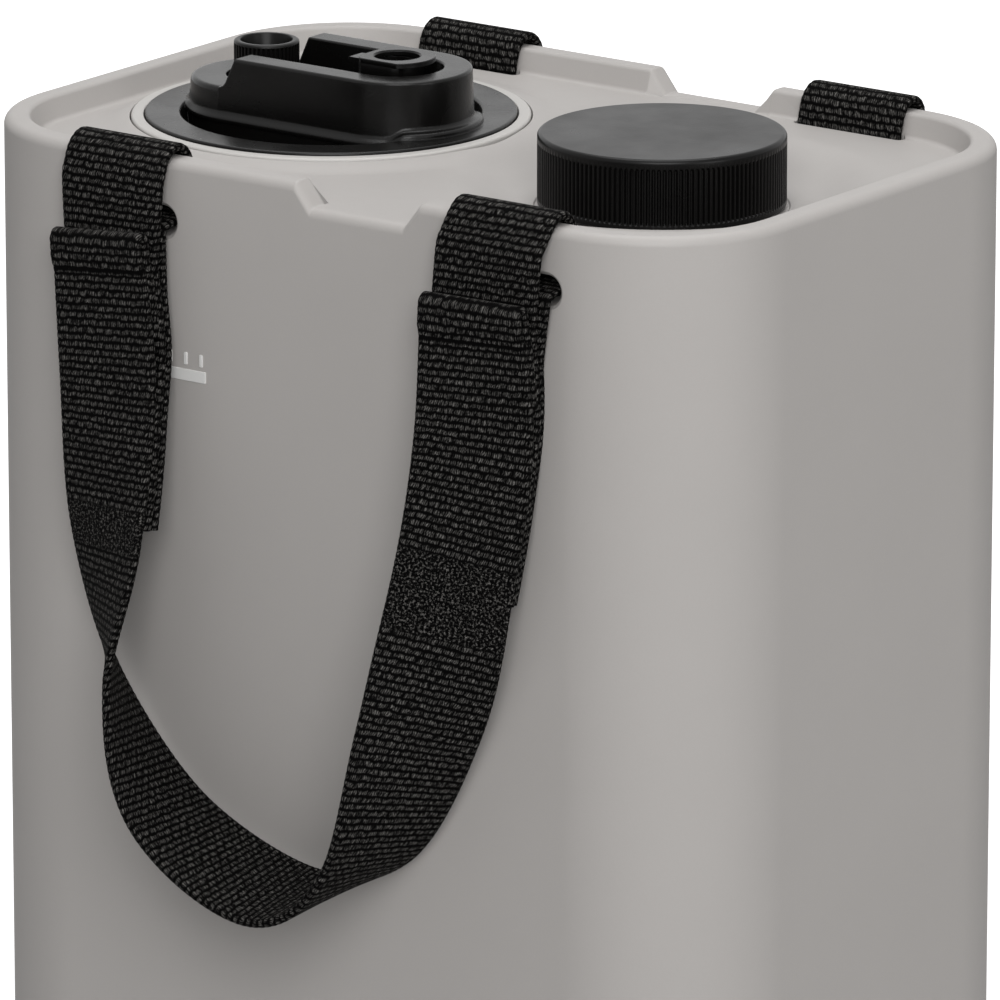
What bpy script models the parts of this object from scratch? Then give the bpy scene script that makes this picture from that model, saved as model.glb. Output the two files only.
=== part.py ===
# Camp water container: a rigid jug with a screw lid, a small fill cap and two webbing handles.
# Units are metres. +Z is up, +X runs along the long side, the front faces -Y,
# and the origin is the middle of the base. Heights above the base are measured
# from the rim crest, so a height of zero is the top of the rim.
import math

import bmesh
import bpy
import numpy as np
from mathutils import Matrix, Vector
from mathutils.geometry import delaunay_2d_cdt

# Body
BODY_LENGTH = 0.222
BODY_WIDTH = 0.150
BODY_HEIGHT = 0.368
CORNER_RADIUS = 0.037
WALL = 0.0032
BASE_FILLET = 0.008
BASE_FOOT_WIDTH = 0.013
BASE_RECESS = 0.002
FIT_GAP = 0.0003
SEAT_GAP = 0.0003

# Rim and deck
RIM_OUTER_FILLET = 0.0025
RIM_WIDTH = 0.0052
RIM_INNER_FILLET = 0.0013
RIM_FOOT_WIDTH = 0.0094
DECK_DEPTH = 0.006
NOTCH_X = 0.014
NOTCH_TOP_HALF = 0.0191
NOTCH_FLOOR_HALF = 0.0124
NOTCH_SILL = 0.0002

# Lid mouth
LID_X = -0.0503
LID_RADIUS = 0.0452
LID_SEAT_WIDTH = 0.0056
LID_SKIRT_RADIUS = LID_RADIUS - LID_SEAT_WIDTH
LID_TOP = -0.00335
LID_DISC_THICKNESS = 0.00255
LID_THREAD_CLEARANCE = 0.0013
LID_SKIRT_WALL = 0.003
LID_SKIRT_DEPTH = 0.025
LID_FLOOR_DEPTH = 0.0126
LID_FLOOR_THICKNESS = 0.0026
COLLAR_RIM_WIDTH = 0.0031
COLLAR_RAISE = 0.0006
COLLAR_FLANGE_THICKNESS = 0.0025
COLLAR_SLEEVE_WALL = 0.0027
COLLAR_DEPTH = 0.026
GASKET_THICKNESS = 0.0009
TURRET_RISE = 0.0015
TURRET_FLARE = 0.008
TURRET_FADE = 0.006
MOUTH_WALL = 0.0032

# Lid boss
LID_LAND_WIDTH = 0.0073
MOAT_RADIUS = LID_RADIUS - LID_LAND_WIDTH
BOSS_END_INSET = 0.0065
BOSS_HALF_LENGTH = LID_RADIUS - BOSS_END_INSET
BOSS_HALF_WIDTH = 0.0185
BOSS_TOP = 0.0103
BOSS_BEAD = 0.0011
BOSS_BEAD_HEIGHT = -0.0048
BOSS_WALL = 0.0033
PLATFORM_TOP = 0.0028
PLATFORM_REACH = 0.0212
PLATFORM_END_X = LID_X - PLATFORM_REACH
STEP_RUN = 0.0055
STEP_FILLET = 0.0026
CHANNEL_HALF_WIDTH = 0.0113
CHANNEL_FLOOR = 0.002

# Vent
VENT_SPACING = 0.0197
VENT_X = LID_X - VENT_SPACING
VENT_RADIUS = 0.008
VENT_TOP = 0.0115
VENT_RIBS = 44
VENT_RIB_DEPTH = 0.00045
VENT_DISH_RADIUS = 0.0063
VENT_DISH_DEPTH = 0.0034
VENT_POCKET_CLEARANCE = 0.002
VENT_POCKET_FLOOR = -0.002
VENT_STEM_RADIUS = 0.0035
VENT_STEM_DEPTH = 0.0168
VENT_SEAL_THICKNESS = 0.0007

# Quick coupling
COUPLING_SPACING = 0.0201
COUPLING_X = LID_X + COUPLING_SPACING
COUPLING_TOP = 0.0129
COUPLING_FLANGE_RADIUS = 0.0095
COUPLING_FLANGE_THICKNESS = 0.0013
COUPLING_MOUTH_RADIUS = 0.00555
BARREL_RADIUS = 0.007
BORE_RADIUS = 0.005
BLOCK_RADIUS = 0.0094
BLOCK_HALF_WIDTH = 0.0077
BLOCK_LEFT = 0.0075
BLOCK_RIGHT = 0.0027
LATCH_TRAVEL = 0.0016
LATCH_THICKNESS = 0.0013
LATCH_HALF_WIDTH = 0.0064
LATCH_END = 0.0054
TAB_LENGTH = 0.0036
TAB_HALF_WIDTH = 0.0025
TAB_DROP = 0.0066
LATCH_SPRING_RADIUS = 0.00095
LATCH_SPRING_WIRE = 0.0002
LATCH_SPRING_TURNS = 3
CHAMBER_RADIUS = 0.0046
CHAMBER_TOP = 0.0032
SEAT_LIP = 0.0008
SEAT_LIP_RADIUS = 0.0036
BARREL_DEPTH = 0.0192
SEAL_GROOVE_HEIGHT = 0.0064
SEAL_SECTION = 0.0006
SEAL_BITE = 0.0005
POPPET_THICKNESS = 0.0016
POPPET_PIN_RADIUS = 0.0024
POPPET_PIN_HEIGHT = 0.0022
POPPET_SPRING_WIRE = 0.0003
POPPET_SPRING_TURNS = 5
NUT_ACROSS_FLATS = 0.0195
NUT_THICKNESS = 0.0035

# Dip tube
BARB_RADIUS = 0.0032
BARB_LENGTH = 0.010
BARB_FLANGE_THICKNESS = 0.0012
BARB_BORE_RADIUS = 0.002
TUBE_RADIUS = 0.005
TUBE_WALL = 0.0015
STRAINER_RADIUS = 0.0075
STRAINER_LENGTH = 0.012
STRAINER_FLOOR_CLEARANCE = 0.004
STRAINER_SLOTS = 6
STRAINER_SLOT_WIDTH = 0.0022
STRAINER_SLOT_HEIGHT = 0.0034

# Fill cap
CAP_X = 0.0484
CAP_RADIUS = 0.0297
CAP_TOP = 0.0053
CAP_BASE = -0.012
CAP_RIBS = 142
CAP_RIB_DEPTH = 0.00045
CAP_CHAMFER = 0.00085
CAP_CHAMFER_DROP = 0.0021
CAP_BAND = 0.0012
CAP_TOP_THICKNESS = 0.0024
CAP_SIDE_WALL = 0.0025
CAP_LINER_THICKNESS = 0.001
NECK_WALL = 0.0045
NECK_THREAD_CLEARANCE = 0.0017
NECK_FLANGE_RADIUS = 0.0302
NECK_FLANGE_THICKNESS = 0.0003
DISH_FLOOR_RADIUS = 0.032
DISH_RADIUS = 0.053

# Strap tunnels and webbing
STRAP_X = 0.057
WEBBING_WIDTH = 0.030
ANCHOR_THICKNESS = 0.0015
HANDLE_THICKNESS = 0.0018
LAYER_GAP = 0.0006
TUNNEL_END_CLEARANCE = 0.0035
TUNNEL_HEIGHT = 0.0075
TUNNEL_DEPTH = 0.01525
DECK_SLOT_WIDTH = 0.0032
TUNNEL_BLOCK_WALL = 0.004
FOLD_PITCH = 0.0033
FOLD_FRACTION = 0.07
FOLD_BLEND = 0.06
TAIL_FRACTION = 0.2
RIM_TAIL_OFFSET = 0.0056
HINGE_INSET = 0.004
HINGE_DROP = 0.008

# The handle hangs along these points. Each gives the share of the strap spacing,
# the sideways drift, the distance out from the face, the depth below the rim
# crest and the twist of the webbing in degrees.
HANDLE_ROUTE = (
    (-1.00, -0.0005, 0.0106, 0.0180, 7),
    (-1.00, 0.0040, 0.0124, 0.0534, 3),
    (-1.00, 0.0060, 0.0141, 0.0899, 19),
    (-0.90, 0.0040, 0.0159, 0.1249, 56),
    (-0.50, -0.0019, 0.0162, 0.1558, 90),
    (0.00, 0.0033, 0.0162, 0.1704, 101),
    (0.50, 0.0005, 0.0170, 0.1578, 81),
    (0.80, -0.0018, 0.0161, 0.1235, 48),
    (0.95, -0.0028, 0.0143, 0.0893, 18),
    (1.00, -0.0019, 0.0120, 0.0532, 16),
    (1.00, -0.0020, 0.0107, 0.0180, -2),
)
CORNER_STEPS = 8
ROUND_STEPS = 44
SMALL_STEPS = 24
HANDLE_SECTIONS = 46
COLOURS = {
    "body_plastic": ((0.42, 0.40, 0.385), 0.55),
    "ring_plastic": ((0.50, 0.485, 0.465), 0.5),
    "black_plastic": ((0.012, 0.012, 0.012), 0.45),
    "black_webbing": ((0.006, 0.006, 0.006), 0.85),
    "dark_rubber": ((0.02, 0.02, 0.02), 0.7),
    "clear_tube": ((0.62, 0.64, 0.64), 0.3),
    "spring_steel": ((0.55, 0.55, 0.56), 0.3),
}


def clear_scene():
    for item in list(bpy.data.objects):
        bpy.data.objects.remove(item, do_unlink=True)


def material(slot):
    found = bpy.data.materials.get(slot)
    if found is not None:
        return found
    colour, roughness = COLOURS[slot]
    made = bpy.data.materials.new(slot)
    made.use_nodes = True
    shader = made.node_tree.nodes["Principled BSDF"]
    shader.inputs["Base Color"].default_value = (*colour, 1.0)
    shader.inputs["Roughness"].default_value = roughness
    shader.inputs["Metallic"].default_value = 1.0 if slot == "spring_steel" else 0.0
    return made


def add_object(name, bm, slot, place=(0.0, 0.0, BODY_HEIGHT), parent=None):
    """Turns a bmesh into a smooth shaded object whose own origin is at place."""
    bmesh.ops.recalc_face_normals(bm, faces=bm.faces)
    mesh = bpy.data.meshes.new(name)
    bm.to_mesh(mesh)
    bm.free()
    mesh.shade_smooth()
    mesh.set_sharp_from_angle(angle=math.radians(32))
    made = bpy.data.objects.new(name, mesh)
    bpy.context.scene.collection.objects.link(made)
    mesh.materials.append(material(slot))
    made.location = place
    if parent is not None:
        made.parent = parent
        made.matrix_parent_inverse = Matrix.Translation(parent.location).inverted()
    return made


def add_axis(name, place):
    made = bpy.data.objects.new(name, None)
    made.empty_display_size = 0.01
    made.location = place
    bpy.context.scene.collection.objects.link(made)
    return made


def apply_boolean(target, cutter, operation="DIFFERENCE", solver="EXACT"):
    """Keeps the Boolean as a modifier and turns the second shape into a hidden guide."""
    modifier = target.modifiers.new(cutter.name, "BOOLEAN")
    modifier.operation = operation
    modifier.solver = solver
    modifier.object = cutter
    cutter.hide_render = True
    cutter.display_type = "WIRE"
    if target.display_type == "WIRE":
        target.hide_render = True


def smooth_step(value):
    value = min(max(value, 0.0), 1.0)
    return value * value * (3.0 - 2.0 * value)


def bridge(bm, rings, cap_start=True, cap_end=True):
    """Joins closed rings of equal length with quads and fills the two ends."""
    rows = [[bm.verts.new(point) for point in ring] for ring in rings]
    for lower, upper in zip(rows, rows[1:]):
        count = len(lower)
        for index in range(count):
            following = (index + 1) % count
            bm.faces.new((lower[index], lower[following], upper[following], upper[index]))
    if cap_start:
        bm.faces.new(rows[0][::-1])
    if cap_end:
        bm.faces.new(rows[-1])
    return rows


def lathe(bm, profile, centre=(0.0, 0.0), steps=ROUND_STEPS):
    """Spins a profile of radius and height once round a vertical axis."""
    start = [bm.verts.new((centre[0] + radius, centre[1], height)) for radius, height in profile]
    closed = profile[0][0] > 0.0 or profile[-1][0] > 0.0
    pairs = list(zip(start, start[1:] + start[:1]))
    if not closed:
        pairs.pop()
    edges = [bm.edges.new(pair) for pair in pairs]
    bmesh.ops.spin(
        bm,
        geom=start + edges,
        cent=(centre[0], centre[1], 0.0),
        axis=(0.0, 0.0, 1.0),
        angle=2.0 * math.pi,
        steps=steps,
        use_merge=True,
    )
    bmesh.ops.remove_doubles(bm, verts=bm.verts, dist=1e-6)


def lathe_object(name, profile, slot, place, steps=ROUND_STEPS, parent=None):
    bm = bmesh.new()
    lathe(bm, profile, steps=steps)
    return add_object(name, bm, slot, place, parent)


def cylinder_guide(name, radius, low, high, place, steps=ROUND_STEPS, parent=None):
    profile = [(0.0, low), (radius, low), (radius, high), (0.0, high)]
    return lathe_object(name, profile, "black_plastic", place, steps, parent)


def box_guide(name, low, high, place, parent=None):
    bm = bmesh.new()
    bmesh.ops.create_cube(bm, size=1.0)
    size = Vector(high) - Vector(low)
    middle = (Vector(high) + Vector(low)) / 2.0
    bmesh.ops.scale(bm, vec=size, verts=bm.verts)
    bmesh.ops.translate(bm, vec=middle, verts=bm.verts)
    return add_object(name, bm, "black_plastic", place, parent)


def stadium(half_length, half_width, height, steps=12, centre_x=0.0):
    """A ring of points round a slot shape whose long side runs along X."""
    reach = half_length - half_width
    ring = []
    for side in (1, -1):
        for index in range(steps + 1):
            angle = math.pi * (index / steps - 0.5)
            x = centre_x + side * (reach + half_width * math.cos(angle))
            ring.append((x, side * half_width * math.sin(angle), height))
    return ring


def plan_stations():
    """Points round the plan, each as its fillet centre and its outward direction."""
    half_x = BODY_LENGTH / 2.0 - CORNER_RADIUS
    half_y = BODY_WIDTH / 2.0 - CORNER_RADIUS
    ramp = NOTCH_TOP_HALF - NOTCH_FLOOR_HALF
    offsets = [NOTCH_FLOOR_HALF + ramp * share for share in (0.0, 0.18, 0.36, 0.64, 0.82, 1.0)]
    notch = sorted([-offset for offset in offsets] + offsets)
    stations = []
    corners = (((-1, -1), 180), ((1, -1), 270), ((1, 1), 0), ((-1, 1), 90))
    for (sign_x, sign_y), start in corners:
        for index in range(CORNER_STEPS + 1):
            angle = math.radians(start + 90.0 * index / CORNER_STEPS)
            outward = (math.cos(angle), math.sin(angle))
            stations.append((sign_x * half_x, sign_y * half_y, *outward))
        if (sign_x, sign_y) == (-1, -1):
            stations += [(NOTCH_X + offset, -half_y, 0.0, -1.0) for offset in notch]
        if (sign_x, sign_y) == (1, 1):
            stations += [(NOTCH_X + offset, half_y, 0.0, 1.0) for offset in reversed(notch)]
    return stations


def notch_drop(station):
    """How far the rim is lowered at one point of the plan."""
    x, _, normal_x, _ = station
    if abs(normal_x) > 1e-6:
        return 0.0
    ramp = NOTCH_TOP_HALF - NOTCH_FLOOR_HALF
    share = smooth_step((NOTCH_TOP_HALF - abs(x - NOTCH_X)) / ramp)
    return share * (DECK_DEPTH - NOTCH_SILL)


def outline_point(station, inset):
    x, y, normal_x, normal_y = station
    reach = CORNER_RADIUS - inset
    return x + normal_x * reach, y + normal_y * reach


def outline_inset(x, y):
    """Distance of a plan point inside the outer face."""
    over_x = abs(x) - (BODY_LENGTH / 2.0 - CORNER_RADIUS)
    over_y = abs(y) - (BODY_WIDTH / 2.0 - CORNER_RADIUS)
    outside = math.hypot(max(over_x, 0.0), max(over_y, 0.0)) + min(max(over_x, over_y), 0.0)
    return CORNER_RADIUS - outside


def collar_radius():
    return LID_RADIUS + FIT_GAP + COLLAR_RIM_WIDTH


def dish_depth():
    return CAP_BASE - NECK_FLANGE_THICKNESS - SEAT_GAP


def deck_height(x, y, foot, turret, fade):
    """Height of the moulded deck: a flat, a raised ring seat and a dish round the cap."""
    lid_distance = math.hypot(x - LID_X, y)
    cap_distance = math.hypot(x - CAP_X, y)
    seat = collar_radius() + FIT_GAP
    rise = smooth_step((seat + TURRET_FLARE - lid_distance) / TURRET_FLARE)
    edge = smooth_step((outline_inset(x, y) - foot) / fade)
    sink = smooth_step((DISH_RADIUS - cap_distance) / (DISH_RADIUS - DISH_FLOOR_RADIUS))
    return -DECK_DEPTH + turret * rise * edge + (dish_depth() + DECK_DEPTH) * sink


def ring_samples(centre_x, radii, foot, steps=32):
    points = []
    for number, radius in enumerate(radii):
        for index in range(steps):
            angle = 2.0 * math.pi * (index + 0.5 * (number % 2)) / steps
            x = centre_x + radius * math.cos(angle)
            y = radius * math.sin(angle)
            if outline_inset(x, y) > foot + 0.0018:
                points.append((x, y))
    return points


def spaced(start, end, count):
    return [start + (end - start) * index / (count - 1) for index in range(count)]


def fill_patch(bm, boundary, foot, height_at):
    """Fills a closed ring with a triangulated sheet that follows a height formula."""
    seat = collar_radius() + FIT_GAP
    lid_points = ring_samples(LID_X, [seat - 0.006] + spaced(seat, seat + TURRET_FLARE, 4), foot)
    cap_points = ring_samples(CAP_X, spaced(DISH_FLOOR_RADIUS, DISH_RADIUS, 6), foot)
    seat_edge = seat + TURRET_FLARE
    cap_points = [p for p in cap_points if math.hypot(p[0] - LID_X, p[1]) > seat_edge - 0.004]
    rim = [(vert.co.x, vert.co.y) for vert in boundary]
    points = [Vector(point) for point in rim + lid_points + cap_points]
    count = len(rim)
    edges = [(index, (index + 1) % count) for index in range(count)]
    flat, _, triangles, _, _, _ = delaunay_2d_cdt(points, edges, [], 1, 1e-7)
    verts = list(boundary)
    for point in flat[count:]:
        verts.append(bm.verts.new((point.x, point.y, height_at(point.x, point.y))))
    for triangle in triangles:
        bm.faces.new([verts[index] for index in triangle])


def body_rows():
    """Inset and height of each ring of the outside, from the base recess to the deck."""
    floor = -BODY_HEIGHT
    foot = BASE_FILLET + BASE_FOOT_WIDTH
    rows = [(foot + 0.003, floor + BASE_RECESS), (foot, floor), (BASE_FILLET, floor)]
    for degrees in (30.0, 60.0, 90.0):
        angle = math.radians(degrees)
        inset = BASE_FILLET * (1.0 - math.sin(angle))
        rows.append((inset, floor + BASE_FILLET * (1.0 - math.cos(angle))))
    rows.append((0.0, -DECK_DEPTH - 6.0 * RIM_OUTER_FILLET))
    for degrees in (0.0, 30.0, 60.0, 90.0):
        angle = math.radians(degrees)
        inset = RIM_OUTER_FILLET * (1.0 - math.cos(angle))
        rows.append((inset, RIM_OUTER_FILLET * (math.sin(angle) - 1.0)))
    rows.append((RIM_WIDTH, 0.0))
    for degrees in (35.0, 70.0):
        angle = math.radians(degrees)
        inset = RIM_WIDTH + RIM_INNER_FILLET * math.sin(angle)
        rows.append((inset, -RIM_INNER_FILLET * (1.0 - math.cos(angle))))
    slope_foot = RIM_FOOT_WIDTH - 0.0018
    rows.append((slope_foot, -DECK_DEPTH + 0.0014))
    rows.append((slope_foot + 0.0006, -DECK_DEPTH + 0.0004))
    rows.append((RIM_FOOT_WIDTH, -DECK_DEPTH))
    return rows


def outer_body():
    stations = plan_stations()
    rings = []
    for inset, height in body_rows():
        ring = []
        for station in stations:
            x, y = outline_point(station, inset)
            z = height
            if height > -DECK_DEPTH - RIM_OUTER_FILLET:
                z = height - notch_drop(station)
                if inset >= RIM_WIDTH:
                    z = max(z, -DECK_DEPTH)
            ring.append((x, y, z))
        rings.append(ring)
    bm = bmesh.new()
    rows = bridge(bm, rings, cap_end=False)

    def height_at(x, y):
        return deck_height(x, y, RIM_FOOT_WIDTH, TURRET_RISE, TURRET_FADE)

    fill_patch(bm, rows[-1], RIM_FOOT_WIDTH, height_at)
    return add_object("tank", bm, "body_plastic")


def body_cavity():
    """The hollow inside the jug, one wall in from the outside."""
    stations = [station for station in plan_stations() if notch_drop(station) == 0.0]
    floor = -BODY_HEIGHT + WALL
    fillet = BASE_FILLET - WALL
    foot = BASE_FILLET + BASE_FOOT_WIDTH
    rows = [(foot + 0.003, floor + BASE_RECESS), (foot, floor), (BASE_FILLET, floor)]
    for degrees in (30.0, 60.0, 90.0):
        angle = math.radians(degrees)
        inset = WALL + fillet * (1.0 - math.sin(angle))
        rows.append((inset, floor + fillet * (1.0 - math.cos(angle))))
    ceiling = -DECK_DEPTH - WALL
    shoulder = 0.003
    for degrees in (0.0, 45.0, 90.0):
        angle = math.radians(degrees)
        inset = WALL + shoulder * (1.0 - math.cos(angle))
        rows.append((inset, ceiling - shoulder * (1.0 - math.sin(angle))))
    rings = []
    for inset, height in rows:
        rings.append([(*outline_point(station, inset), height) for station in stations])
    bm = bmesh.new()
    made = bridge(bm, rings, cap_end=False)
    seat_floor = collar_seat() - FIT_GAP - COLLAR_FLANGE_THICKNESS - MOUTH_WALL
    foot_inset = WALL + shoulder

    def height_at(x, y):
        return deck_height(x, y, foot_inset, seat_floor - ceiling, 0.004) - WALL

    fill_patch(bm, made[-1], foot_inset, height_at)
    cavity = add_object("guide_cavity", bm, "body_plastic")
    bm = bmesh.new()
    for block_x in (-STRAP_X, STRAP_X):
        for side in (-1, 1):
            add_tunnel_block(bm, block_x, side)
    apply_boolean(cavity, add_object("guide_tunnel_blocks", bm, "body_plastic"))
    return cavity


def slot_half_length():
    return WEBBING_WIDTH / 2.0 + TUNNEL_END_CLEARANCE


def add_tunnel_block(bm, block_x, side):
    """The pinched wall that keeps a strap tunnel apart from the inside of the jug."""
    reach = slot_half_length() + TUNNEL_BLOCK_WALL
    inner = BODY_WIDTH / 2.0 - RIM_FOOT_WIDTH - DECK_SLOT_WIDTH / 2.0 - TUNNEL_BLOCK_WALL
    base = -TUNNEL_DEPTH - TUNNEL_HEIGHT / 2.0 - TUNNEL_BLOCK_WALL
    rings = []
    for height, grow in ((base, 0.0), (0.0, 0.002)):
        low_y = (inner - grow) * side
        high_y = (BODY_WIDTH / 2.0 + 0.01) * side
        corners = [
            (block_x - reach - grow, low_y, height),
            (block_x + reach + grow, low_y, height),
            (block_x + reach + grow, high_y, height),
            (block_x - reach - grow, high_y, height),
        ]
        rings.append(corners)
    bridge(bm, rings)


def deck_slot_out():
    """Distance of the deck slot's middle from the jug's centre plane."""
    return BODY_WIDTH / 2.0 - RIM_FOOT_WIDTH + 0.00015


def tunnel_sections():
    """Centre, opening height and slope of each section from the mouth to the deck."""
    face = BODY_WIDTH / 2.0
    slot = deck_slot_out()
    return (
        (face + 0.003, -TUNNEL_DEPTH, TUNNEL_HEIGHT, 0.0),
        (face - 0.002, -TUNNEL_DEPTH, TUNNEL_HEIGHT, 0.0),
        (slot + 0.00325, -TUNNEL_DEPTH + 0.00085, TUNNEL_HEIGHT - 0.0011, 30.0),
        (slot + 0.00085, -TUNNEL_DEPTH + 0.00305, DECK_SLOT_WIDTH + 0.0018, 60.0),
        (slot, -TUNNEL_DEPTH + 0.00625, DECK_SLOT_WIDTH, 90.0),
        (slot, -DECK_DEPTH + 0.0028, DECK_SLOT_WIDTH, 90.0),
    )


def add_tunnel(bm, tunnel_x, side):
    rings = []
    for out, height, opening, slope in tunnel_sections():
        angle = math.radians(slope)
        ring = []
        for along, across, _ in stadium(slot_half_length(), opening / 2.0, 0.0, steps=5):
            y = side * (out + across * math.sin(angle))
            ring.append((tunnel_x + along, y, height + across * math.cos(angle)))
        rings.append(ring)
    bridge(bm, rings)


def build_tank():
    tank = outer_body()
    bm = bmesh.new()
    neck = neck_radius()
    base = dish_depth()
    flange_top = base + NECK_FLANGE_THICKNESS
    lathe(
        bm,
        [
            (0.0, base - WALL / 2.0),
            (NECK_FLANGE_RADIUS, base - WALL / 2.0),
            (NECK_FLANGE_RADIUS, flange_top),
            (neck, flange_top),
            (neck, neck_top() - 0.0006),
            (neck - 0.0006, neck_top()),
            (0.0, neck_top()),
        ],
        centre=(CAP_X, 0.0),
    )
    apply_boolean(tank, add_object("guide_neck", bm, "body_plastic"), "UNION")
    apply_boolean(tank, body_cavity())
    bm = bmesh.new()
    below = -LID_SKIRT_DEPTH - 0.01
    seat = collar_radius() + FIT_GAP
    flange_base = collar_seat() - COLLAR_FLANGE_THICKNESS - FIT_GAP
    sleeve = sleeve_radius() + FIT_GAP
    lathe(
        bm,
        [
            (0.0, below),
            (sleeve, below),
            (sleeve, flange_base),
            (seat, flange_base),
            (seat, 0.004),
            (0.0, 0.004),
        ],
        centre=(LID_X, 0.0),
    )
    apply_boolean(tank, add_object("guide_mouth", bm, "body_plastic"), solver="MANIFOLD")
    bm = bmesh.new()
    lathe(
        bm,
        [
            (0.0, below),
            (neck - NECK_WALL, below),
            (neck - NECK_WALL, neck_top() + 0.004),
            (0.0, neck_top() + 0.004),
        ],
        centre=(CAP_X, 0.0),
    )
    apply_boolean(tank, add_object("guide_neck_bore", bm, "body_plastic"), solver="MANIFOLD")
    bm = bmesh.new()
    for tunnel_x in (-STRAP_X, STRAP_X):
        for side in (-1, 1):
            add_tunnel(bm, tunnel_x, side)
    apply_boolean(tank, add_object("guide_tunnels", bm, "body_plastic"), solver="MANIFOLD")


def collar_seat():
    """Height of the ledge that the lid gasket is squeezed against."""
    return LID_TOP - LID_DISC_THICKNESS - GASKET_THICKNESS - 2.0 * SEAT_GAP


def sleeve_radius():
    return LID_SKIRT_RADIUS + LID_THREAD_CLEARANCE + COLLAR_SLEEVE_WALL


def neck_radius():
    return CAP_RADIUS - CAP_SIDE_WALL - NECK_THREAD_CLEARANCE


def neck_top():
    return CAP_TOP - CAP_TOP_THICKNESS - CAP_LINER_THICKNESS - 2.0 * SEAT_GAP


def build_collar(axis):
    outer = collar_radius()
    bore = LID_SKIRT_RADIUS + LID_THREAD_CLEARANCE
    recess = LID_RADIUS + FIT_GAP
    top = LID_TOP - COLLAR_RAISE
    seat = collar_seat()
    profile = [
        (bore, -COLLAR_DEPTH),
        (sleeve_radius(), -COLLAR_DEPTH),
        (sleeve_radius(), seat - COLLAR_FLANGE_THICKNESS),
        (outer, seat - COLLAR_FLANGE_THICKNESS),
        (outer, top - 0.0004),
        (outer - 0.0004, top),
        (recess, top),
        (recess, seat),
        (bore, seat),
    ]
    lathe_object("mouth_collar", profile, "ring_plastic", axis.location, parent=axis)


def build_lid_gasket(axis):
    low = collar_seat() + SEAT_GAP
    inner = LID_SKIRT_RADIUS + FIT_GAP
    outer = LID_RADIUS - FIT_GAP
    high = low + GASKET_THICKNESS
    profile = [(inner, low), (outer, low), (outer, high), (inner, high)]
    lathe_object("lid_gasket", profile, "dark_rubber", axis.location, parent=axis)


def boss_ring(offset, height, steps=9):
    return stadium(BOSS_HALF_LENGTH + offset, BOSS_HALF_WIDTH + offset, height, steps)


def build_lid_shell(axis):
    """The screw lid: disc, threaded skirt, finger moat and the raised boss."""
    place = axis.location
    under = LID_TOP - LID_DISC_THICKNESS
    floor = -LID_FLOOR_DEPTH
    floor_under = floor - LID_FLOOR_THICKNESS
    skirt = LID_SKIRT_RADIUS
    inner = skirt - LID_SKIRT_WALL
    profile = [
        (0.0, floor_under),
        (inner - 0.001, floor_under),
        (inner, floor_under - 0.001),
        (inner, -LID_SKIRT_DEPTH),
        (skirt - 0.0006, -LID_SKIRT_DEPTH),
        (skirt, -LID_SKIRT_DEPTH + 0.0006),
        (skirt, under),
        (LID_RADIUS - 0.0003, under),
        (LID_RADIUS, under + 0.0003),
        (LID_RADIUS, LID_TOP - 0.0003),
        (LID_RADIUS - 0.0003, LID_TOP),
        (MOAT_RADIUS + 0.0006, LID_TOP),
        (MOAT_RADIUS, LID_TOP - 0.0006),
        (MOAT_RADIUS - 0.0011, floor + 0.0008),
        (MOAT_RADIUS - 0.0019, floor),
        (0.0, floor),
    ]
    lid = lathe_object("lid_shell", profile, "black_plastic", place, parent=axis)
    bead = BOSS_BEAD_HEIGHT
    bm = bmesh.new()
    bridge(
        bm,
        [
            boss_ring(0.0003, floor - 0.0006),
            boss_ring(0.0003, bead - 0.0013),
            boss_ring(BOSS_BEAD * 0.8, bead - 0.0005),
            boss_ring(BOSS_BEAD, bead),
            boss_ring(BOSS_BEAD * 0.6, bead + 0.0005),
            boss_ring(0.0001, bead + 0.0010),
            boss_ring(-0.0002, BOSS_TOP - 0.0009),
            boss_ring(-0.0004, BOSS_TOP - 0.0003),
            boss_ring(-0.0010, BOSS_TOP),
        ],
    )
    apply_boolean(lid, add_object("guide_boss", bm, "black_plastic", place), "UNION")
    bm = bmesh.new()
    ceiling = CHANNEL_FLOOR - LID_FLOOR_THICKNESS
    bridge(
        bm,
        [
            boss_ring(-BOSS_WALL, floor_under - 0.002, steps=8),
            boss_ring(-BOSS_WALL, ceiling - 0.0015, steps=8),
            boss_ring(-BOSS_WALL - 0.0015, ceiling, steps=8),
        ],
    )
    apply_boolean(lid, add_object("guide_boss_hollow", bm, "black_plastic", place))
    bm = bmesh.new()
    socket_top = ceiling + LID_FLOOR_THICKNESS / 2.0
    socket = BARREL_RADIUS + FIT_GAP + 0.003
    pocket = VENT_RADIUS + VENT_POCKET_CLEARANCE
    for centre, radius in ((COUPLING_X, socket), (VENT_X, pocket + 0.002)):
        column = [(0.0, floor), (radius, floor), (radius, socket_top), (0.0, socket_top)]
        lathe(bm, column, centre=(centre - LID_X, 0.0), steps=SMALL_STEPS)
    apply_boolean(lid, add_object("guide_sockets", bm, "black_plastic", place), "UNION")
    apply_boolean(lid, step_guide(place))
    apply_boolean(lid, channel_guide(place))
    bm = bmesh.new()
    below = floor_under - 0.004
    coupling_hole = BARREL_RADIUS + FIT_GAP
    stem_hole = VENT_STEM_RADIUS + FIT_GAP
    above = BOSS_TOP + 0.004
    lathe(
        bm,
        [(0.0, below), (coupling_hole, below), (coupling_hole, above), (0.0, above)],
        centre=(COUPLING_X - LID_X, 0.0),
        steps=SMALL_STEPS,
    )
    lathe(
        bm,
        [
            (0.0, below),
            (stem_hole, below),
            (stem_hole, VENT_POCKET_FLOOR),
            (pocket, VENT_POCKET_FLOOR),
            (pocket, above),
            (0.0, above),
        ],
        centre=(VENT_X - LID_X, 0.0),
        steps=SMALL_STEPS,
    )
    apply_boolean(lid, add_object("guide_lid_bores", bm, "black_plastic", place))


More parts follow.
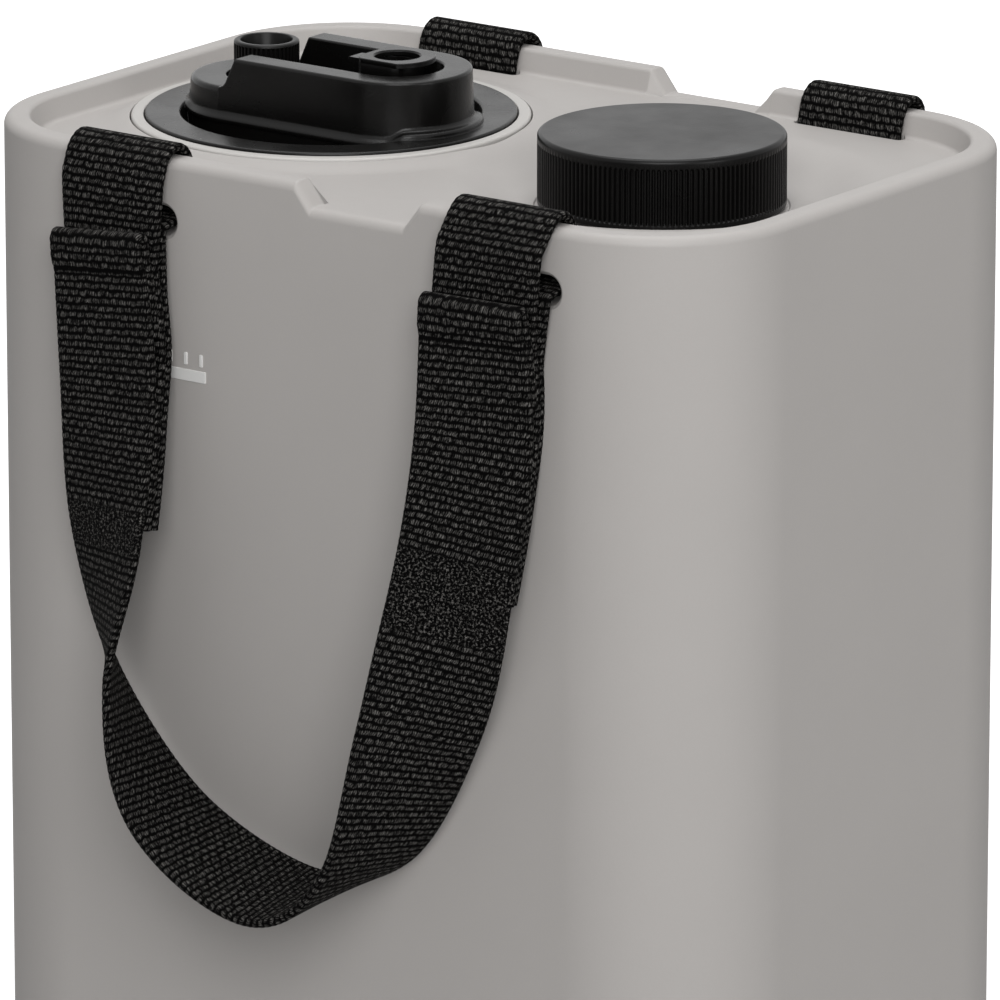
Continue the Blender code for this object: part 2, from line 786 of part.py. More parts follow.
def step_guide(place):
    """Cuts the boss down to its low platform, with the sloping step up to the bars."""
    start = PLATFORM_END_X - LID_X
    slope = math.atan2(BOSS_TOP - PLATFORM_TOP, STEP_RUN)
    bend = STEP_FILLET * math.tan(slope / 2.0)
    side = [(-0.06, PLATFORM_TOP)]
    for index in range(6):
        angle = slope * index / 5.0
        x = start - bend + STEP_FILLET * math.sin(angle)
        side.append((x, PLATFORM_TOP + STEP_FILLET * (1.0 - math.cos(angle))))
    climb = BOSS_TOP + 0.006 - PLATFORM_TOP
    side.append((start + climb / math.tan(slope), PLATFORM_TOP + climb))
    side.append((-0.06, PLATFORM_TOP + climb))
    bm = bmesh.new()
    bridge(bm, [[(x, y, z) for x, z in side] for y in (-0.03, 0.03)])
    return add_object("guide_step", bm, "black_plastic", place)


def channel_guide(place):
    """Cuts the finger channel between the two bars, round at the coupling end."""
    right = COUPLING_X - LID_X
    left = VENT_X - LID_X
    rounding = 0.0006
    levels = (
        (CHANNEL_FLOOR, 0.0),
        (BOSS_TOP - rounding, 0.0),
        (BOSS_TOP + 0.0001, rounding),
        (BOSS_TOP + 0.006, rounding),
    )
    rings = []
    for height, grow in levels:
        width = CHANNEL_HALF_WIDTH + grow
        ring = []
        for index in range(17):
            angle = math.pi * (index / 16.0 - 0.5)
            ring.append((right + width * math.cos(angle), width * math.sin(angle), height))
        ring.append((left, width, height))
        ring.append((left, -width, height))
        rings.append(ring)
    bm = bmesh.new()
    bridge(bm, rings)
    return add_object("guide_channel", bm, "black_plastic", place)


def ribbed_ring(radius, depth, ribs, height):
    ring = []
    for index in range(2 * ribs):
        angle = math.pi * index / ribs
        reach = radius - depth * (index % 2)
        ring.append((reach * math.cos(angle), reach * math.sin(angle), height))
    return ring


def build_vent(lid_axis):
    place = (VENT_X, 0.0, BODY_HEIGHT)
    axis = add_axis("vent_axis", place)
    axis.parent = lid_axis
    axis.matrix_parent_inverse = Matrix.Translation(lid_axis.location).inverted()
    seal_low = VENT_POCKET_FLOOR + SEAT_GAP
    seal_high = seal_low + VENT_SEAL_THICKNESS
    low = seal_low
    rib_low = PLATFORM_TOP - 0.0016
    rib_high = VENT_TOP - 0.0017
    rows = (
        (VENT_RADIUS, 0.0, low),
        (VENT_RADIUS, 0.0, rib_low),
        (VENT_RADIUS, VENT_RIB_DEPTH, rib_low + 0.0002),
        (VENT_RADIUS, VENT_RIB_DEPTH, rib_high),
        (VENT_RADIUS - 0.0009, 0.0, VENT_TOP - 0.0003),
        (VENT_RADIUS - 0.0012, 0.0, VENT_TOP),
    )
    bm = bmesh.new()
    bridge(bm, [ribbed_ring(radius, depth, VENT_RIBS, height) for radius, depth, height in rows])
    knob = add_object("vent_knob", bm, "black_plastic", place, axis)
    bm = bmesh.new()
    dish = VENT_TOP - VENT_DISH_DEPTH
    lathe(
        bm,
        [
            (0.0, dish),
            (VENT_DISH_RADIUS - 0.0008, dish),
            (VENT_DISH_RADIUS - 0.0003, dish + 0.0006),
            (VENT_DISH_RADIUS, VENT_TOP + 0.001),
            (0.0, VENT_TOP + 0.001),
        ],
        steps=SMALL_STEPS,
    )
    seal_room = VENT_RADIUS - 0.0012
    under = seal_high + SEAT_GAP
    below = low - 0.002
    lathe(bm, [(0.0, below), (seal_room, below), (seal_room, under), (0.0, under)], steps=SMALL_STEPS)
    apply_boolean(knob, add_object("guide_vent_hollows", bm, "black_plastic", place))
    stem = cylinder_guide("guide_vent_stem", VENT_STEM_RADIUS, -VENT_STEM_DEPTH, under + 0.001, place, 20)
    apply_boolean(knob, stem, "UNION")
    inner = VENT_STEM_RADIUS + FIT_GAP
    outer = seal_room - FIT_GAP
    profile = [(inner, seal_low), (outer, seal_low), (outer, seal_high), (inner, seal_high)]
    lathe_object("vent_seal", profile, "dark_rubber", place, SMALL_STEPS, axis)


def block_ring(height):
    """Plan of the coupling block: part of a round, flat at the front, back and sides."""
    ring = []
    for index in range(24):
        angle = 2.0 * math.pi * (index + 0.5) / 24.0
        x = BLOCK_RADIUS * 1.05 * math.cos(angle)
        y = BLOCK_RADIUS * 1.05 * math.sin(angle)
        x = min(max(x, -BLOCK_LEFT), BLOCK_RIGHT)
        y = min(max(y, -BLOCK_HALF_WIDTH), BLOCK_HALF_WIDTH)
        if not ring or math.dist(ring[-1][:2], (x, y)) > 0.0002:
            ring.append((x, y, height))
    return ring


def slot_range():
    """Bottom and top of the slot that the latch plate slides in."""
    top = COUPLING_TOP - COUPLING_FLANGE_THICKNESS
    return top - LATCH_THICKNESS - 2.0 * SEAT_GAP, top


def build_coupling(lid_axis):
    place = (COUPLING_X, 0.0, BODY_HEIGHT)
    axis = add_axis("coupling_axis", place)
    axis.parent = lid_axis
    axis.matrix_parent_inverse = Matrix.Translation(lid_axis.location).inverted()
    slot_low, slot_high = slot_range()
    body = lathe_object(
        "coupling_body",
        [
            (0.0, -BARREL_DEPTH),
            (BARREL_RADIUS, -BARREL_DEPTH),
            (BARREL_RADIUS, slot_high),
            (COUPLING_FLANGE_RADIUS, slot_high),
            (COUPLING_FLANGE_RADIUS, COUPLING_TOP - 0.0002),
            (COUPLING_FLANGE_RADIUS - 0.0002, COUPLING_TOP),
            (0.0, COUPLING_TOP),
        ],
        "black_plastic",
        place,
        SMALL_STEPS,
        axis,
    )
    bm = bmesh.new()
    block_base = CHANNEL_FLOOR + SEAT_GAP
    bridge(bm, [block_ring(block_base), block_ring(slot_high + COUPLING_FLANGE_THICKNESS / 2.0)])
    apply_boolean(body, add_object("guide_block", bm, "black_plastic", place), "UNION")
    groove = SEAL_GROOVE_HEIGHT
    bm = bmesh.new()
    lathe(
        bm,
        [
            (0.0, -BARREL_DEPTH - 0.002),
            (CHAMBER_RADIUS, -BARREL_DEPTH - 0.002),
            (CHAMBER_RADIUS, CHAMBER_TOP),
            (SEAT_LIP_RADIUS, CHAMBER_TOP),
            (SEAT_LIP_RADIUS, CHAMBER_TOP + SEAT_LIP),
            (BORE_RADIUS, CHAMBER_TOP + SEAT_LIP),
            (BORE_RADIUS, groove - seal_groove_half()),
            (seal_groove_radius(), groove - seal_groove_half()),
            (seal_groove_radius(), groove + seal_groove_half()),
            (BORE_RADIUS, groove + seal_groove_half()),
            (BORE_RADIUS, slot_high - SEAT_GAP),
            (COUPLING_MOUTH_RADIUS, slot_high),
            (COUPLING_MOUTH_RADIUS, COUPLING_TOP + 0.002),
            (0.0, COUPLING_TOP + 0.002),
        ],
        steps=SMALL_STEPS,
    )
    apply_boolean(body, add_object("guide_coupling_bore", bm, "black_plastic", place))
    half = LATCH_HALF_WIDTH + FIT_GAP
    slot = box_guide("guide_latch_slot", (-0.014, -half, slot_low), (0.014, half, slot_high), place)
    apply_boolean(body, slot)
    apply_boolean(body, spring_pocket_guide(place))
    build_latch(place, axis)
    build_valve(place, axis)
    build_nut(place, axis)
    build_dip_tube(place, axis)


def seal_groove_half():
    return SEAL_SECTION + FIT_GAP


def seal_groove_radius():
    return BORE_RADIUS - SEAL_BITE + 2.0 * SEAL_SECTION + FIT_GAP


def spring_height():
    return slot_range()[0] - LATCH_SPRING_RADIUS - LATCH_SPRING_WIRE - 0.001


def spring_span():
    """Start and end of the latch spring, from its pocket to the back of the thumb tab."""
    pocket = -BLOCK_LEFT + 0.0016
    return tab_face() + FIT_GAP, pocket - FIT_GAP


def tab_face():
    """The thumb tab's inner face, one press travel and a gap away from the block."""
    return -BLOCK_LEFT - LATCH_TRAVEL - FIT_GAP


def spring_pocket_guide(place):
    radius = LATCH_SPRING_RADIUS + LATCH_SPRING_WIRE + FIT_GAP
    pocket = -BLOCK_LEFT + 0.0016
    rings = []
    for x in (-BLOCK_LEFT - 0.002, pocket):
        ring = []
        for index in range(12):
            angle = 2.0 * math.pi * index / 12.0
            ring.append((x, radius * math.cos(angle), spring_height() + radius * math.sin(angle)))
        rings.append(ring)
    bm = bmesh.new()
    bridge(bm, rings)
    return add_object("guide_spring_pocket", bm, "black_plastic", place)


def build_latch(place, axis):
    """The sliding plate whose edge locks into the fitting's groove, with its thumb tab."""
    slot_low, _ = slot_range()
    low = slot_low + SEAT_GAP
    high = low + LATCH_THICKNESS
    tab = tab_face()
    bm = bmesh.new()
    outline = [
        (tab - 0.0005, -TAB_HALF_WIDTH),
        (-BLOCK_LEFT + 0.0004, -TAB_HALF_WIDTH),
        (-BLOCK_LEFT + 0.0022, -LATCH_HALF_WIDTH),
        (LATCH_END - 0.0016, -LATCH_HALF_WIDTH),
        (LATCH_END, -LATCH_HALF_WIDTH + 0.0024),
        (LATCH_END, LATCH_HALF_WIDTH - 0.0024),
        (LATCH_END - 0.0016, LATCH_HALF_WIDTH),
        (-BLOCK_LEFT + 0.0022, LATCH_HALF_WIDTH),
        (-BLOCK_LEFT + 0.0004, TAB_HALF_WIDTH),
        (tab - 0.0005, TAB_HALF_WIDTH),
    ]
    bridge(bm, [[(x, y, height) for x, y in outline] for height in (low, high)])
    latch = add_object("coupling_latch", bm, "black_plastic", place, axis)
    tab_box = box_guide(
        "guide_thumb_tab",
        (tab - TAB_LENGTH, -TAB_HALF_WIDTH, high - TAB_DROP),
        (tab, TAB_HALF_WIDTH, high),
        place,
    )
    apply_boolean(latch, tab_box, "UNION")
    bm = bmesh.new()
    below = low - 0.001
    above = high + 0.001
    profile = [(0.0, below), (BORE_RADIUS, below), (BORE_RADIUS, above), (0.0, above)]
    lathe(bm, profile, centre=(-LATCH_TRAVEL, 0.0), steps=SMALL_STEPS)
    apply_boolean(latch, add_object("guide_latch_hole", bm, "black_plastic", place))
    start, end = spring_span()
    add_spring(
        "latch_spring",
        Vector((start, 0.0, spring_height())),
        Vector((end, 0.0, spring_height())),
        LATCH_SPRING_RADIUS,
        LATCH_SPRING_WIRE,
        LATCH_SPRING_TURNS,
        place,
        axis,
    )


def add_spring(name, start, end, radius, wire, turns, place, axis):
    """A compression spring as one unbroken helix of round wire between two points."""
    along = (end - start).normalized()
    first = along.orthogonal().normalized()
    second = along.cross(first)
    length = (end - start).length - 2.0 * wire
    steps = turns * 8
    curve = bpy.data.curves.new(name + "_path", "CURVE")
    curve.dimensions = "3D"
    curve.bevel_depth = wire
    curve.bevel_resolution = 1
    curve.use_fill_caps = True
    spline = curve.splines.new("POLY")
    spline.points.add(steps)
    for index in range(steps + 1):
        share = index / steps
        angle = 2.0 * math.pi * turns * share
        point = start + along * (wire + length * share)
        point += radius * (first * math.cos(angle) + second * math.sin(angle))
        spline.points[index].co = (*point, 1.0)
    curve.materials.append(material("spring_steel"))
    made = bpy.data.objects.new(name, curve)
    made.location = place
    made.parent = axis
    made.matrix_parent_inverse = Matrix.Translation(axis.location).inverted()
    bpy.context.scene.collection.objects.link(made)


def build_valve(place, axis):
    """O-ring, poppet and poppet spring inside the coupling's barrel."""
    groove = SEAL_GROOVE_HEIGHT
    ring_radius = BORE_RADIUS - SEAL_BITE + SEAL_SECTION
    profile = []
    for index in range(6):
        angle = math.pi * index / 3.0
        radius = ring_radius + SEAL_SECTION * math.cos(angle)
        profile.append((radius, groove + SEAL_SECTION * math.sin(angle)))
    lathe_object("coupling_seal", profile, "dark_rubber", place, 24, axis)
    top = CHAMBER_TOP - SEAT_GAP
    low = top - POPPET_THICKNESS
    lathe_object(
        "valve_poppet",
        [
            (0.0, low),
            (CHAMBER_RADIUS - FIT_GAP, low),
            (CHAMBER_RADIUS - FIT_GAP, top - 0.0004),
            (CHAMBER_RADIUS - FIT_GAP - 0.0004, top),
            (POPPET_PIN_RADIUS + 0.0005, top),
            (POPPET_PIN_RADIUS, top + 0.0006),
            (POPPET_PIN_RADIUS - 0.0002, top + POPPET_PIN_HEIGHT),
            (0.0, top + POPPET_PIN_HEIGHT),
        ],
        "ring_plastic",
        place,
        24,
        axis,
    )
    add_spring(
        "poppet_spring",
        Vector((0.0, 0.0, barb_top() + SEAT_GAP)),
        Vector((0.0, 0.0, low - SEAT_GAP)),
        CHAMBER_RADIUS - POPPET_SPRING_WIRE - FIT_GAP,
        POPPET_SPRING_WIRE,
        POPPET_SPRING_TURNS,
        place,
        axis,
    )


def barb_top():
    return -BARREL_DEPTH + 0.004


def build_nut(place, axis):
    """The hexagon nut that clamps the coupling up against the lid."""
    high = -LID_FLOOR_DEPTH - SEAT_GAP
    radius = NUT_ACROSS_FLATS / math.sqrt(3.0)
    rings = []
    for height in (high - NUT_THICKNESS, high):
        ring = []
        for index in range(6):
            angle = math.pi * index / 3.0
            ring.append((radius * math.cos(angle), radius * math.sin(angle), height))
        rings.append(ring)
    bm = bmesh.new()
    bridge(bm, rings)
    nut = add_object("coupling_nut", bm, "black_plastic", place, axis)
    clearance = BARREL_RADIUS + FIT_GAP
    low = high - NUT_THICKNESS - 0.001
    apply_boolean(nut, cylinder_guide("guide_nut_bore", clearance, low, high + 0.001, place, SMALL_STEPS))


def build_dip_tube(place, axis):
    """Barb fitting, pick-up tube and intake strainer below the coupling."""
    flange_high = -BARREL_DEPTH - SEAT_GAP
    flange_low = flange_high - BARB_FLANGE_THICKNESS
    barb_low = flange_low - BARB_LENGTH
    spigot = CHAMBER_RADIUS - FIT_GAP
    ridge = TUBE_RADIUS - TUBE_WALL - FIT_GAP
    lathe_object(
        "tube_barb",
        [
            (BARB_BORE_RADIUS, barb_low),
            (BARB_RADIUS - 0.0007, barb_low),
            (ridge, barb_low + 0.002),
            (BARB_RADIUS - 0.0007, barb_low + 0.0024),
            (ridge, barb_low + 0.0052),
            (BARB_RADIUS - 0.0007, barb_low + 0.0056),
            (BARB_RADIUS - 0.0007, flange_low),
            (BARREL_RADIUS - 0.0004, flange_low),
            (BARREL_RADIUS - 0.0004, flange_high),
            (spigot, flange_high),
            (spigot, barb_top()),
            (BARB_BORE_RADIUS, barb_top()),
        ],
        "black_plastic",
        place,
        24,
        axis,
    )
    tube_high = flange_low - SEAT_GAP
    strainer_low = -BODY_HEIGHT + WALL + BASE_RECESS + STRAINER_FLOOR_CLEARANCE
    tube_low = strainer_low + STRAINER_LENGTH / 2.0
    bore = TUBE_RADIUS - TUBE_WALL
    lathe_object(
        "dip_tube",
        [(bore, tube_low), (TUBE_RADIUS, tube_low), (TUBE_RADIUS, tube_high), (bore, tube_high)],
        "clear_tube",
        place,
        20,
        axis,
    )
    shelf = tube_low - SEAT_GAP
    strainer = lathe_object(
        "intake_strainer",
        [
            (0.0, strainer_low),
            (STRAINER_RADIUS, strainer_low),
            (STRAINER_RADIUS, strainer_low + STRAINER_LENGTH),
            (TUBE_RADIUS + FIT_GAP, strainer_low + STRAINER_LENGTH),
            (TUBE_RADIUS + FIT_GAP, shelf),
            (bore, shelf),
            (bore, strainer_low + 0.0012),
            (0.0, strainer_low + 0.0012),
        ],
        "black_plastic",
        place,
        24,
        axis,
    )
    half = STRAINER_SLOT_WIDTH / 2.0
    span = STRAINER_RADIUS + 0.002
    for index in range(STRAINER_SLOTS // 2):
        low_corner = (-span, -half, strainer_low - 0.001)
        high_corner = (span, half, strainer_low + STRAINER_SLOT_HEIGHT)
        slot = box_guide("guide_strainer_slot_" + str(index + 1), low_corner, high_corner, place)
        slot.rotation_euler = (0.0, 0.0, math.pi * index / (STRAINER_SLOTS // 2))
        apply_boolean(strainer, slot)


def build_fill_cap():
    """The small ribbed cap with its sealing disc, screwed on the neck."""
    place = (CAP_X, 0.0, BODY_HEIGHT)
    axis = add_axis("cap_axis", place)
    top_radius = CAP_RADIUS - CAP_CHAMFER
    rib_top = CAP_TOP - CAP_CHAMFER_DROP
    rib_low = CAP_BASE + CAP_BAND
    rows = (
        (CAP_RADIUS, 0.0, CAP_BASE),
        (CAP_RADIUS, CAP_RIB_DEPTH, rib_low),
        (CAP_RADIUS, CAP_RIB_DEPTH, rib_top),
        (top_radius, 0.0, CAP_TOP),
    )
    bm = bmesh.new()
    bridge(bm, [ribbed_ring(radius, depth, CAP_RIBS, height) for radius, depth, height in rows])
    cap = add_object("fill_cap", bm, "black_plastic", place, axis)
    inner = CAP_RADIUS - CAP_SIDE_WALL
    under = CAP_TOP - CAP_TOP_THICKNESS
    hollow = cylinder_guide("guide_cap_hollow", inner, CAP_BASE - 0.002, under, place)
    apply_boolean(cap, hollow)
    liner_low = neck_top() + SEAT_GAP
    liner = inner - FIT_GAP
    liner_high = liner_low + CAP_LINER_THICKNESS
    profile = [(0.0, liner_low), (liner, liner_low), (liner, liner_high), (0.0, liner_high)]
    lathe_object("cap_liner", profile, "dark_rubber", place, ROUND_STEPS, axis)


def catmull_rom(knots, value):
    """Point on a smooth curve through the knots, with value running from 0 to 1."""
    last = len(knots) - 1
    position = min(max(value, 0.0), 1.0) * last
    index = min(int(position), last - 1)
    t = position - index
    p1 = knots[index]
    p2 = knots[index + 1]
    p0 = knots[index - 1] if index > 0 else 2.0 * p1 - p2
    p3 = knots[index + 2] if index + 2 <= last else 2.0 * p2 - p1
    a = 2.0 * p1
    b = p2 - p0
    c = 2.0 * p0 - 5.0 * p1 + 4.0 * p2 - p3
    d = -p0 + 3.0 * p1 - 3.0 * p2 + p3
    return 0.5 * (a + b * t + c * t * t + d * t * t * t)


def route_knots():
    """The hanging handle's points as X, distance from the centre plane, height, twist."""
    knots = []
    for share, drift, out, drop, twist in HANDLE_ROUTE:
        x = share * STRAP_X + drift
        knots.append(np.array((x, BODY_WIDTH / 2.0 + out, -drop, math.radians(twist))))
    return knots


def handle_frame(knots, share):
    """Middle, width direction and outward direction of the front handle at one place."""
    here = catmull_rom(knots, share)
    before = catmull_rom(knots, share - 0.004)
    after = catmull_rom(knots, share + 0.004)
    middle = Vector((here[0], -here[1], here[2]))
    ahead = after - before
    tangent = Vector((ahead[0], -ahead[1], ahead[2])).normalized()
    slope = math.atan2(tangent.x, -tangent.z)
    level = Vector((math.cos(slope), 0.0, math.sin(slope)))
    width = math.cos(here[3]) * level - math.sin(here[3]) * Vector((0.0, 1.0, 0.0))
    width = (width - tangent * width.dot(tangent)).normalized()
    return middle, width, tangent.cross(width)


def ribbon_corners(stations, index, thickness):
    """The four corners of the webbing section at one station."""
    middle, width = stations[index]
    before = stations[max(index - 1, 0)][0]
    after = stations[min(index + 1, len(stations) - 1)][0]
    normal = (after - before).cross(width).normalized() * (thickness / 2.0)
    edge = width.normalized() * (WEBBING_WIDTH / 2.0)
    return (
        middle - edge - normal,
        middle + edge - normal,
        middle + edge + normal,
        middle - edge + normal,
    )


def join_sections(bm, near, far, downhill):
    """Joins two webbing sections; the wide faces of every layer share one diagonal."""
    if downhill:
        wide = (near[0], near[1], far[1]), (near[0], far[1], far[0])
        wide += (near[3], far[2], near[2]), (near[3], far[3], far[2])
    else:
        wide = (near[0], near[1], far[0]), (near[1], far[1], far[0])
        wide += (near[3], far[3], near[2]), (near[2], far[3], far[2])
    for corners in wide:
        bm.faces.new(corners)
    bm.faces.new((near[1], near[2], far[2], far[1]))
    bm.faces.new((near[3], near[0], far[0], far[3]))


def add_ribbon(name, stations, thickness, side, place, parent):
    """Sweeps a flat webbing section along stations of middle and width direction."""
    bm = bmesh.new()
    sections = []
    for index in range(len(stations)):
        section = []
        for corner in ribbon_corners(stations, index, thickness):
            world = Vector((corner.x, -side * corner.y, corner.z + BODY_HEIGHT))
            section.append(bm.verts.new(world - Vector(place)))
        sections.append(section)
    for index in range(len(stations) - 1):
        downhill = stations[index][0].z > stations[index + 1][0].z
        join_sections(bm, sections[index], sections[index + 1], downhill)
    bm.faces.new(sections[0])
    bm.faces.new(sections[-1])
    return add_object(name, bm, "black_webbing", place, parent)


def leg_share(end, share):
    return share if end < 0 else 1.0 - share


def inward_offset(share):
    """How far the over-rim tail lies behind the handle: wide at the fold, close below it."""
    close = HANDLE_THICKNESS / 2.0 + LAYER_GAP + ANCHOR_THICKNESS / 2.0
    blend = smooth_step((share - FOLD_FRACTION) / FOLD_BLEND)
    return RIM_TAIL_OFFSET + (close - RIM_TAIL_OFFSET) * blend


def leg_stations(knots, end, first, extra):
    """Stations of a tail behind the handle's leg, at the handle's own sections."""
    stations = []
    last = int(TAIL_FRACTION * HANDLE_SECTIONS)
    for index in range(first, last + 1):
        share = index / HANDLE_SECTIONS
        middle, width, outward = handle_frame(knots, leg_share(end, share))
        stations.append((middle - outward * (inward_offset(share) + extra), width))
    return stations


def anchor_stations(knots, end):
    """One anchor strap: up a leg, over the rim, through the tunnel and down again."""
    upper = leg_stations(knots, end, 1, 0.0)[::-1]
    lower = leg_stations(knots, end, 2, ANCHOR_THICKNESS + LAYER_GAP)
    face = BODY_WIDTH / 2.0
    slot = deck_slot_out() - 0.00005
    lift = ANCHOR_THICKNESS / 2.0 + FIT_GAP
    loop = (
        (face + 0.0024, -0.0078),
        (face + 0.00135, -0.0032),
        (face + 0.0002, -0.0002),
        (face - 0.0022, lift - 0.0001),
        (face - 0.0045, lift),
        (face - 0.0065, lift - 0.0006),
        (face - 0.0078, -0.0011),
        (face - 0.0086, -0.0034),
        (slot, -DECK_DEPTH),
        (slot, -TUNNEL_DEPTH + 0.00625),
        (slot + 0.00085, -TUNNEL_DEPTH + 0.0031),
        (slot + 0.0034, -TUNNEL_DEPTH + 0.0006),
        (face - 0.0026, -TUNNEL_DEPTH - 0.0002),
        (face + 0.0005, -TUNNEL_DEPTH - 0.0008),
        (face + 0.0024, -TUNNEL_DEPTH - 0.0030),
    )
    width = Vector((-end, 0.0, 0.0))
    over = [(Vector((end * STRAP_X, -out, height)), width) for out, height in loop]
    bend = upper[-2:] + over + lower[:2]
    return upper[:-1] + smooth_stations(bend, 2) + lower[1:]


def smooth_stations(knots, steps):
    """Curves a ribbon path through its knots, leaving out the first and last stretch."""
    middles = [np.array(middle) for middle, _ in knots]
    widths = [np.array(width) for _, width in knots]
    last = len(knots) - 1
    stations = []
    for index in range(steps, (last - 1) * steps + 1):
        share = index / (steps * last)
        middle = Vector(catmull_rom(middles, share))
        stations.append((middle, Vector(catmull_rom(widths, share)).normalized()))
    return stations


def handle_stations(knots):
    """The handle webbing with both ends folded back behind it."""
    ends = []
    for end in (-1, 1):
        fold = []
        for share in (FOLD_FRACTION, FOLD_FRACTION * 0.66, FOLD_FRACTION * 0.33, 0.0):
            middle, width, outward = handle_frame(knots, leg_share(end, share))
            fold.append((middle - outward * FOLD_PITCH, width))
        middle, width, outward = handle_frame(knots, leg_share(end, 0.0))
        radius = FOLD_PITCH / 2.0
        for degrees in (36, 72, 108, 144):
            angle = math.radians(degrees)
            rise = Vector((0.0, 0.0, radius * math.sin(angle)))
            fold.append((middle - outward * (radius + radius * math.cos(angle)) + rise, width))
        ends.append(fold)
    main = []
    for index in range(HANDLE_SECTIONS + 1):
        middle, width, _ = handle_frame(knots, index / HANDLE_SECTIONS)
        main.append((middle, width))
    return ends[0] + main + ends[1][::-1]


def build_handle(label, side):
    """One webbing handle with its two anchor straps, on the axis of its rim bars."""
    out = BODY_WIDTH / 2.0 - HINGE_INSET
    place = (0.0, side * out, BODY_HEIGHT - HINGE_DROP)
    axis = add_axis(label + "_handle_axis", place)
    knots = route_knots()
    name = label + "_handle_webbing"
    add_ribbon(name, handle_stations(knots), HANDLE_THICKNESS, side, place, axis)
    for end, word in ((-1, "left"), (1, "right")):
        stations = anchor_stations(knots, end)
        add_ribbon(label + "_" + word + "_anchor", stations, ANCHOR_THICKNESS, side, place, axis)


def main():
    clear_scene()
    lid_axis = add_axis("lid_axis", (LID_X, 0.0, BODY_HEIGHT))
    build_tank()
    build_collar(lid_axis)
    build_lid_gasket(lid_axis)
    build_lid_shell(lid_axis)
    build_vent(lid_axis)
    build_coupling(lid_axis)
    build_fill_cap()
    build_handle("front", -1)
    build_handle("rear", 1)


main()
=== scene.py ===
import bpy
import bmesh
import numpy as np
from math import acos, atan2, cos, dist, hypot, pi, radians, sin, tan
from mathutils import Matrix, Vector
from mathutils.geometry import delaunay_2d_cdt


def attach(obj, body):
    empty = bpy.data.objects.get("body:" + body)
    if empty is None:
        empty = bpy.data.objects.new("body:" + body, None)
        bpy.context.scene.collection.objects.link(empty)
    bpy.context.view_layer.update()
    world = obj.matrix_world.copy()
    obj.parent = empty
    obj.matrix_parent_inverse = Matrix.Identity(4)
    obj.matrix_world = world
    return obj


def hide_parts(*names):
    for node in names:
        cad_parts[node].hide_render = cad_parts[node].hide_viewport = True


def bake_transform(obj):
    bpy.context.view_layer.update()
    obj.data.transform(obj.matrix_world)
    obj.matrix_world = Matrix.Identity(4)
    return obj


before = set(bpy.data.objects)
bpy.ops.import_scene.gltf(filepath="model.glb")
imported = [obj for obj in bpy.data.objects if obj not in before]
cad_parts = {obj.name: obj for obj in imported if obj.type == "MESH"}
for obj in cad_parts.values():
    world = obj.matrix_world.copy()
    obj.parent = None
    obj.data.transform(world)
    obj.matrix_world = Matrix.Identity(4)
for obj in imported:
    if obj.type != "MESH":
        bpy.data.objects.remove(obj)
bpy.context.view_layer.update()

# Body
CREST = 0.368
BODY_LENGTH = 0.222
BODY_WIDTH = 0.15
CORNER_RADIUS = 0.037
WALL = 0.0032
BASE_FILLET = 0.008
DECK_DEPTH = 0.006
CEILING = -0.0165
RIM_FOOT_WIDTH = 0.0094
NOTCH_X = 0.014
NOTCH_END_INSET = 0.0052
SEAT_LIFT = 0.0015
LIFT_REACH = 0.008
FIT_GAP = 0.0003
FACE = BODY_WIDTH / 2.0

# Lid
LID_X = -0.0503
LID_RADIUS = 0.0452
LID_TOP = -0.00335
LID_UNDER = LID_TOP - 0.00255
SKIRT_RADIUS = 0.0396
SKIRT_DEPTH = 0.025
LID_FLOOR = -0.0126
FLOOR_THICKNESS = 0.0026
COLLAR_SEAT = -0.0074
COLLAR_OUTER = 0.0486
SLEEVE_RADIUS = 0.0436
SEAT_RADIUS = COLLAR_OUTER + FIT_GAP
BOSS_HALF_LENGTH = 0.0387
BOSS_HALF_WIDTH = 0.0185
BOSS_TOP = 0.0103
STEP_FOOT = -0.0692
LEFT_LEDGE_SHARE = 0.3
PLATFORM_TOP = 0.0028
CHANNEL_FLOOR = 0.002
CHANNEL_HALF_WIDTH = 0.0113
MOAT_EDGE = 0.0366
MOAT_FOOT = 0.0352
LID_PITCH = 0.006
LID_TURNS = 2.2

# Vent and coupling
VENT_X = -0.07
VENT_RADIUS = 0.008
VENT_TOP = 0.0115
POCKET_FLOOR = -0.002
COUPLING_X = -0.0302
COUPLING_TOP = 0.0129
FLANGE_THICKNESS = 0.0013
BLOCK_LEFT = 0.0075
BLOCK_HALF = 0.0077

# Cap
CAP_X = 0.0484
CAP_RADIUS = 0.0297
CAP_TOP = 0.0053
CAP_BASE = -0.012
NECK_RADIUS = 0.0255
NECK_BORE = 0.021
NECK_TOP = 0.0013
DISH_DEPTH = -0.0126
DISH_RADIUS = 0.053
DISH_SLOPE = 0.021
SEAT_STEP = 0.0303
STEP_DROP = 0.0004
STEP_WIDTH = 0.0003
CAP_PITCH = 0.005
CAP_THREAD_WIDTH = 0.0016

# Meshes: the greatest angles between faces that are shaded smooth
CREASE = 34.0
RIB_CREASE = 40.0
WEB_CREASE = 60.0

# Studio
WHITE = (1.0, 1.0, 1.0, 1.0)
WORLD_STRENGTH = 0.2
FLOOR_GLOSSY_SHARE = 0.05
FLOOR_HALF = 3.0
CAMERA_DISTANCE = 2.6
FOCAL_PIXELS = 10838.8
AZIMUTH = 36.44
PITCH = 15.48
PICTURE_WIDTH = 1000.0
AIM_RIGHT = 0.00047
AIM_UP = -0.09007
GLOW_NEAR = 0.3
GLOW_FAR = 0.75
GLOW_LEAST = 0.6
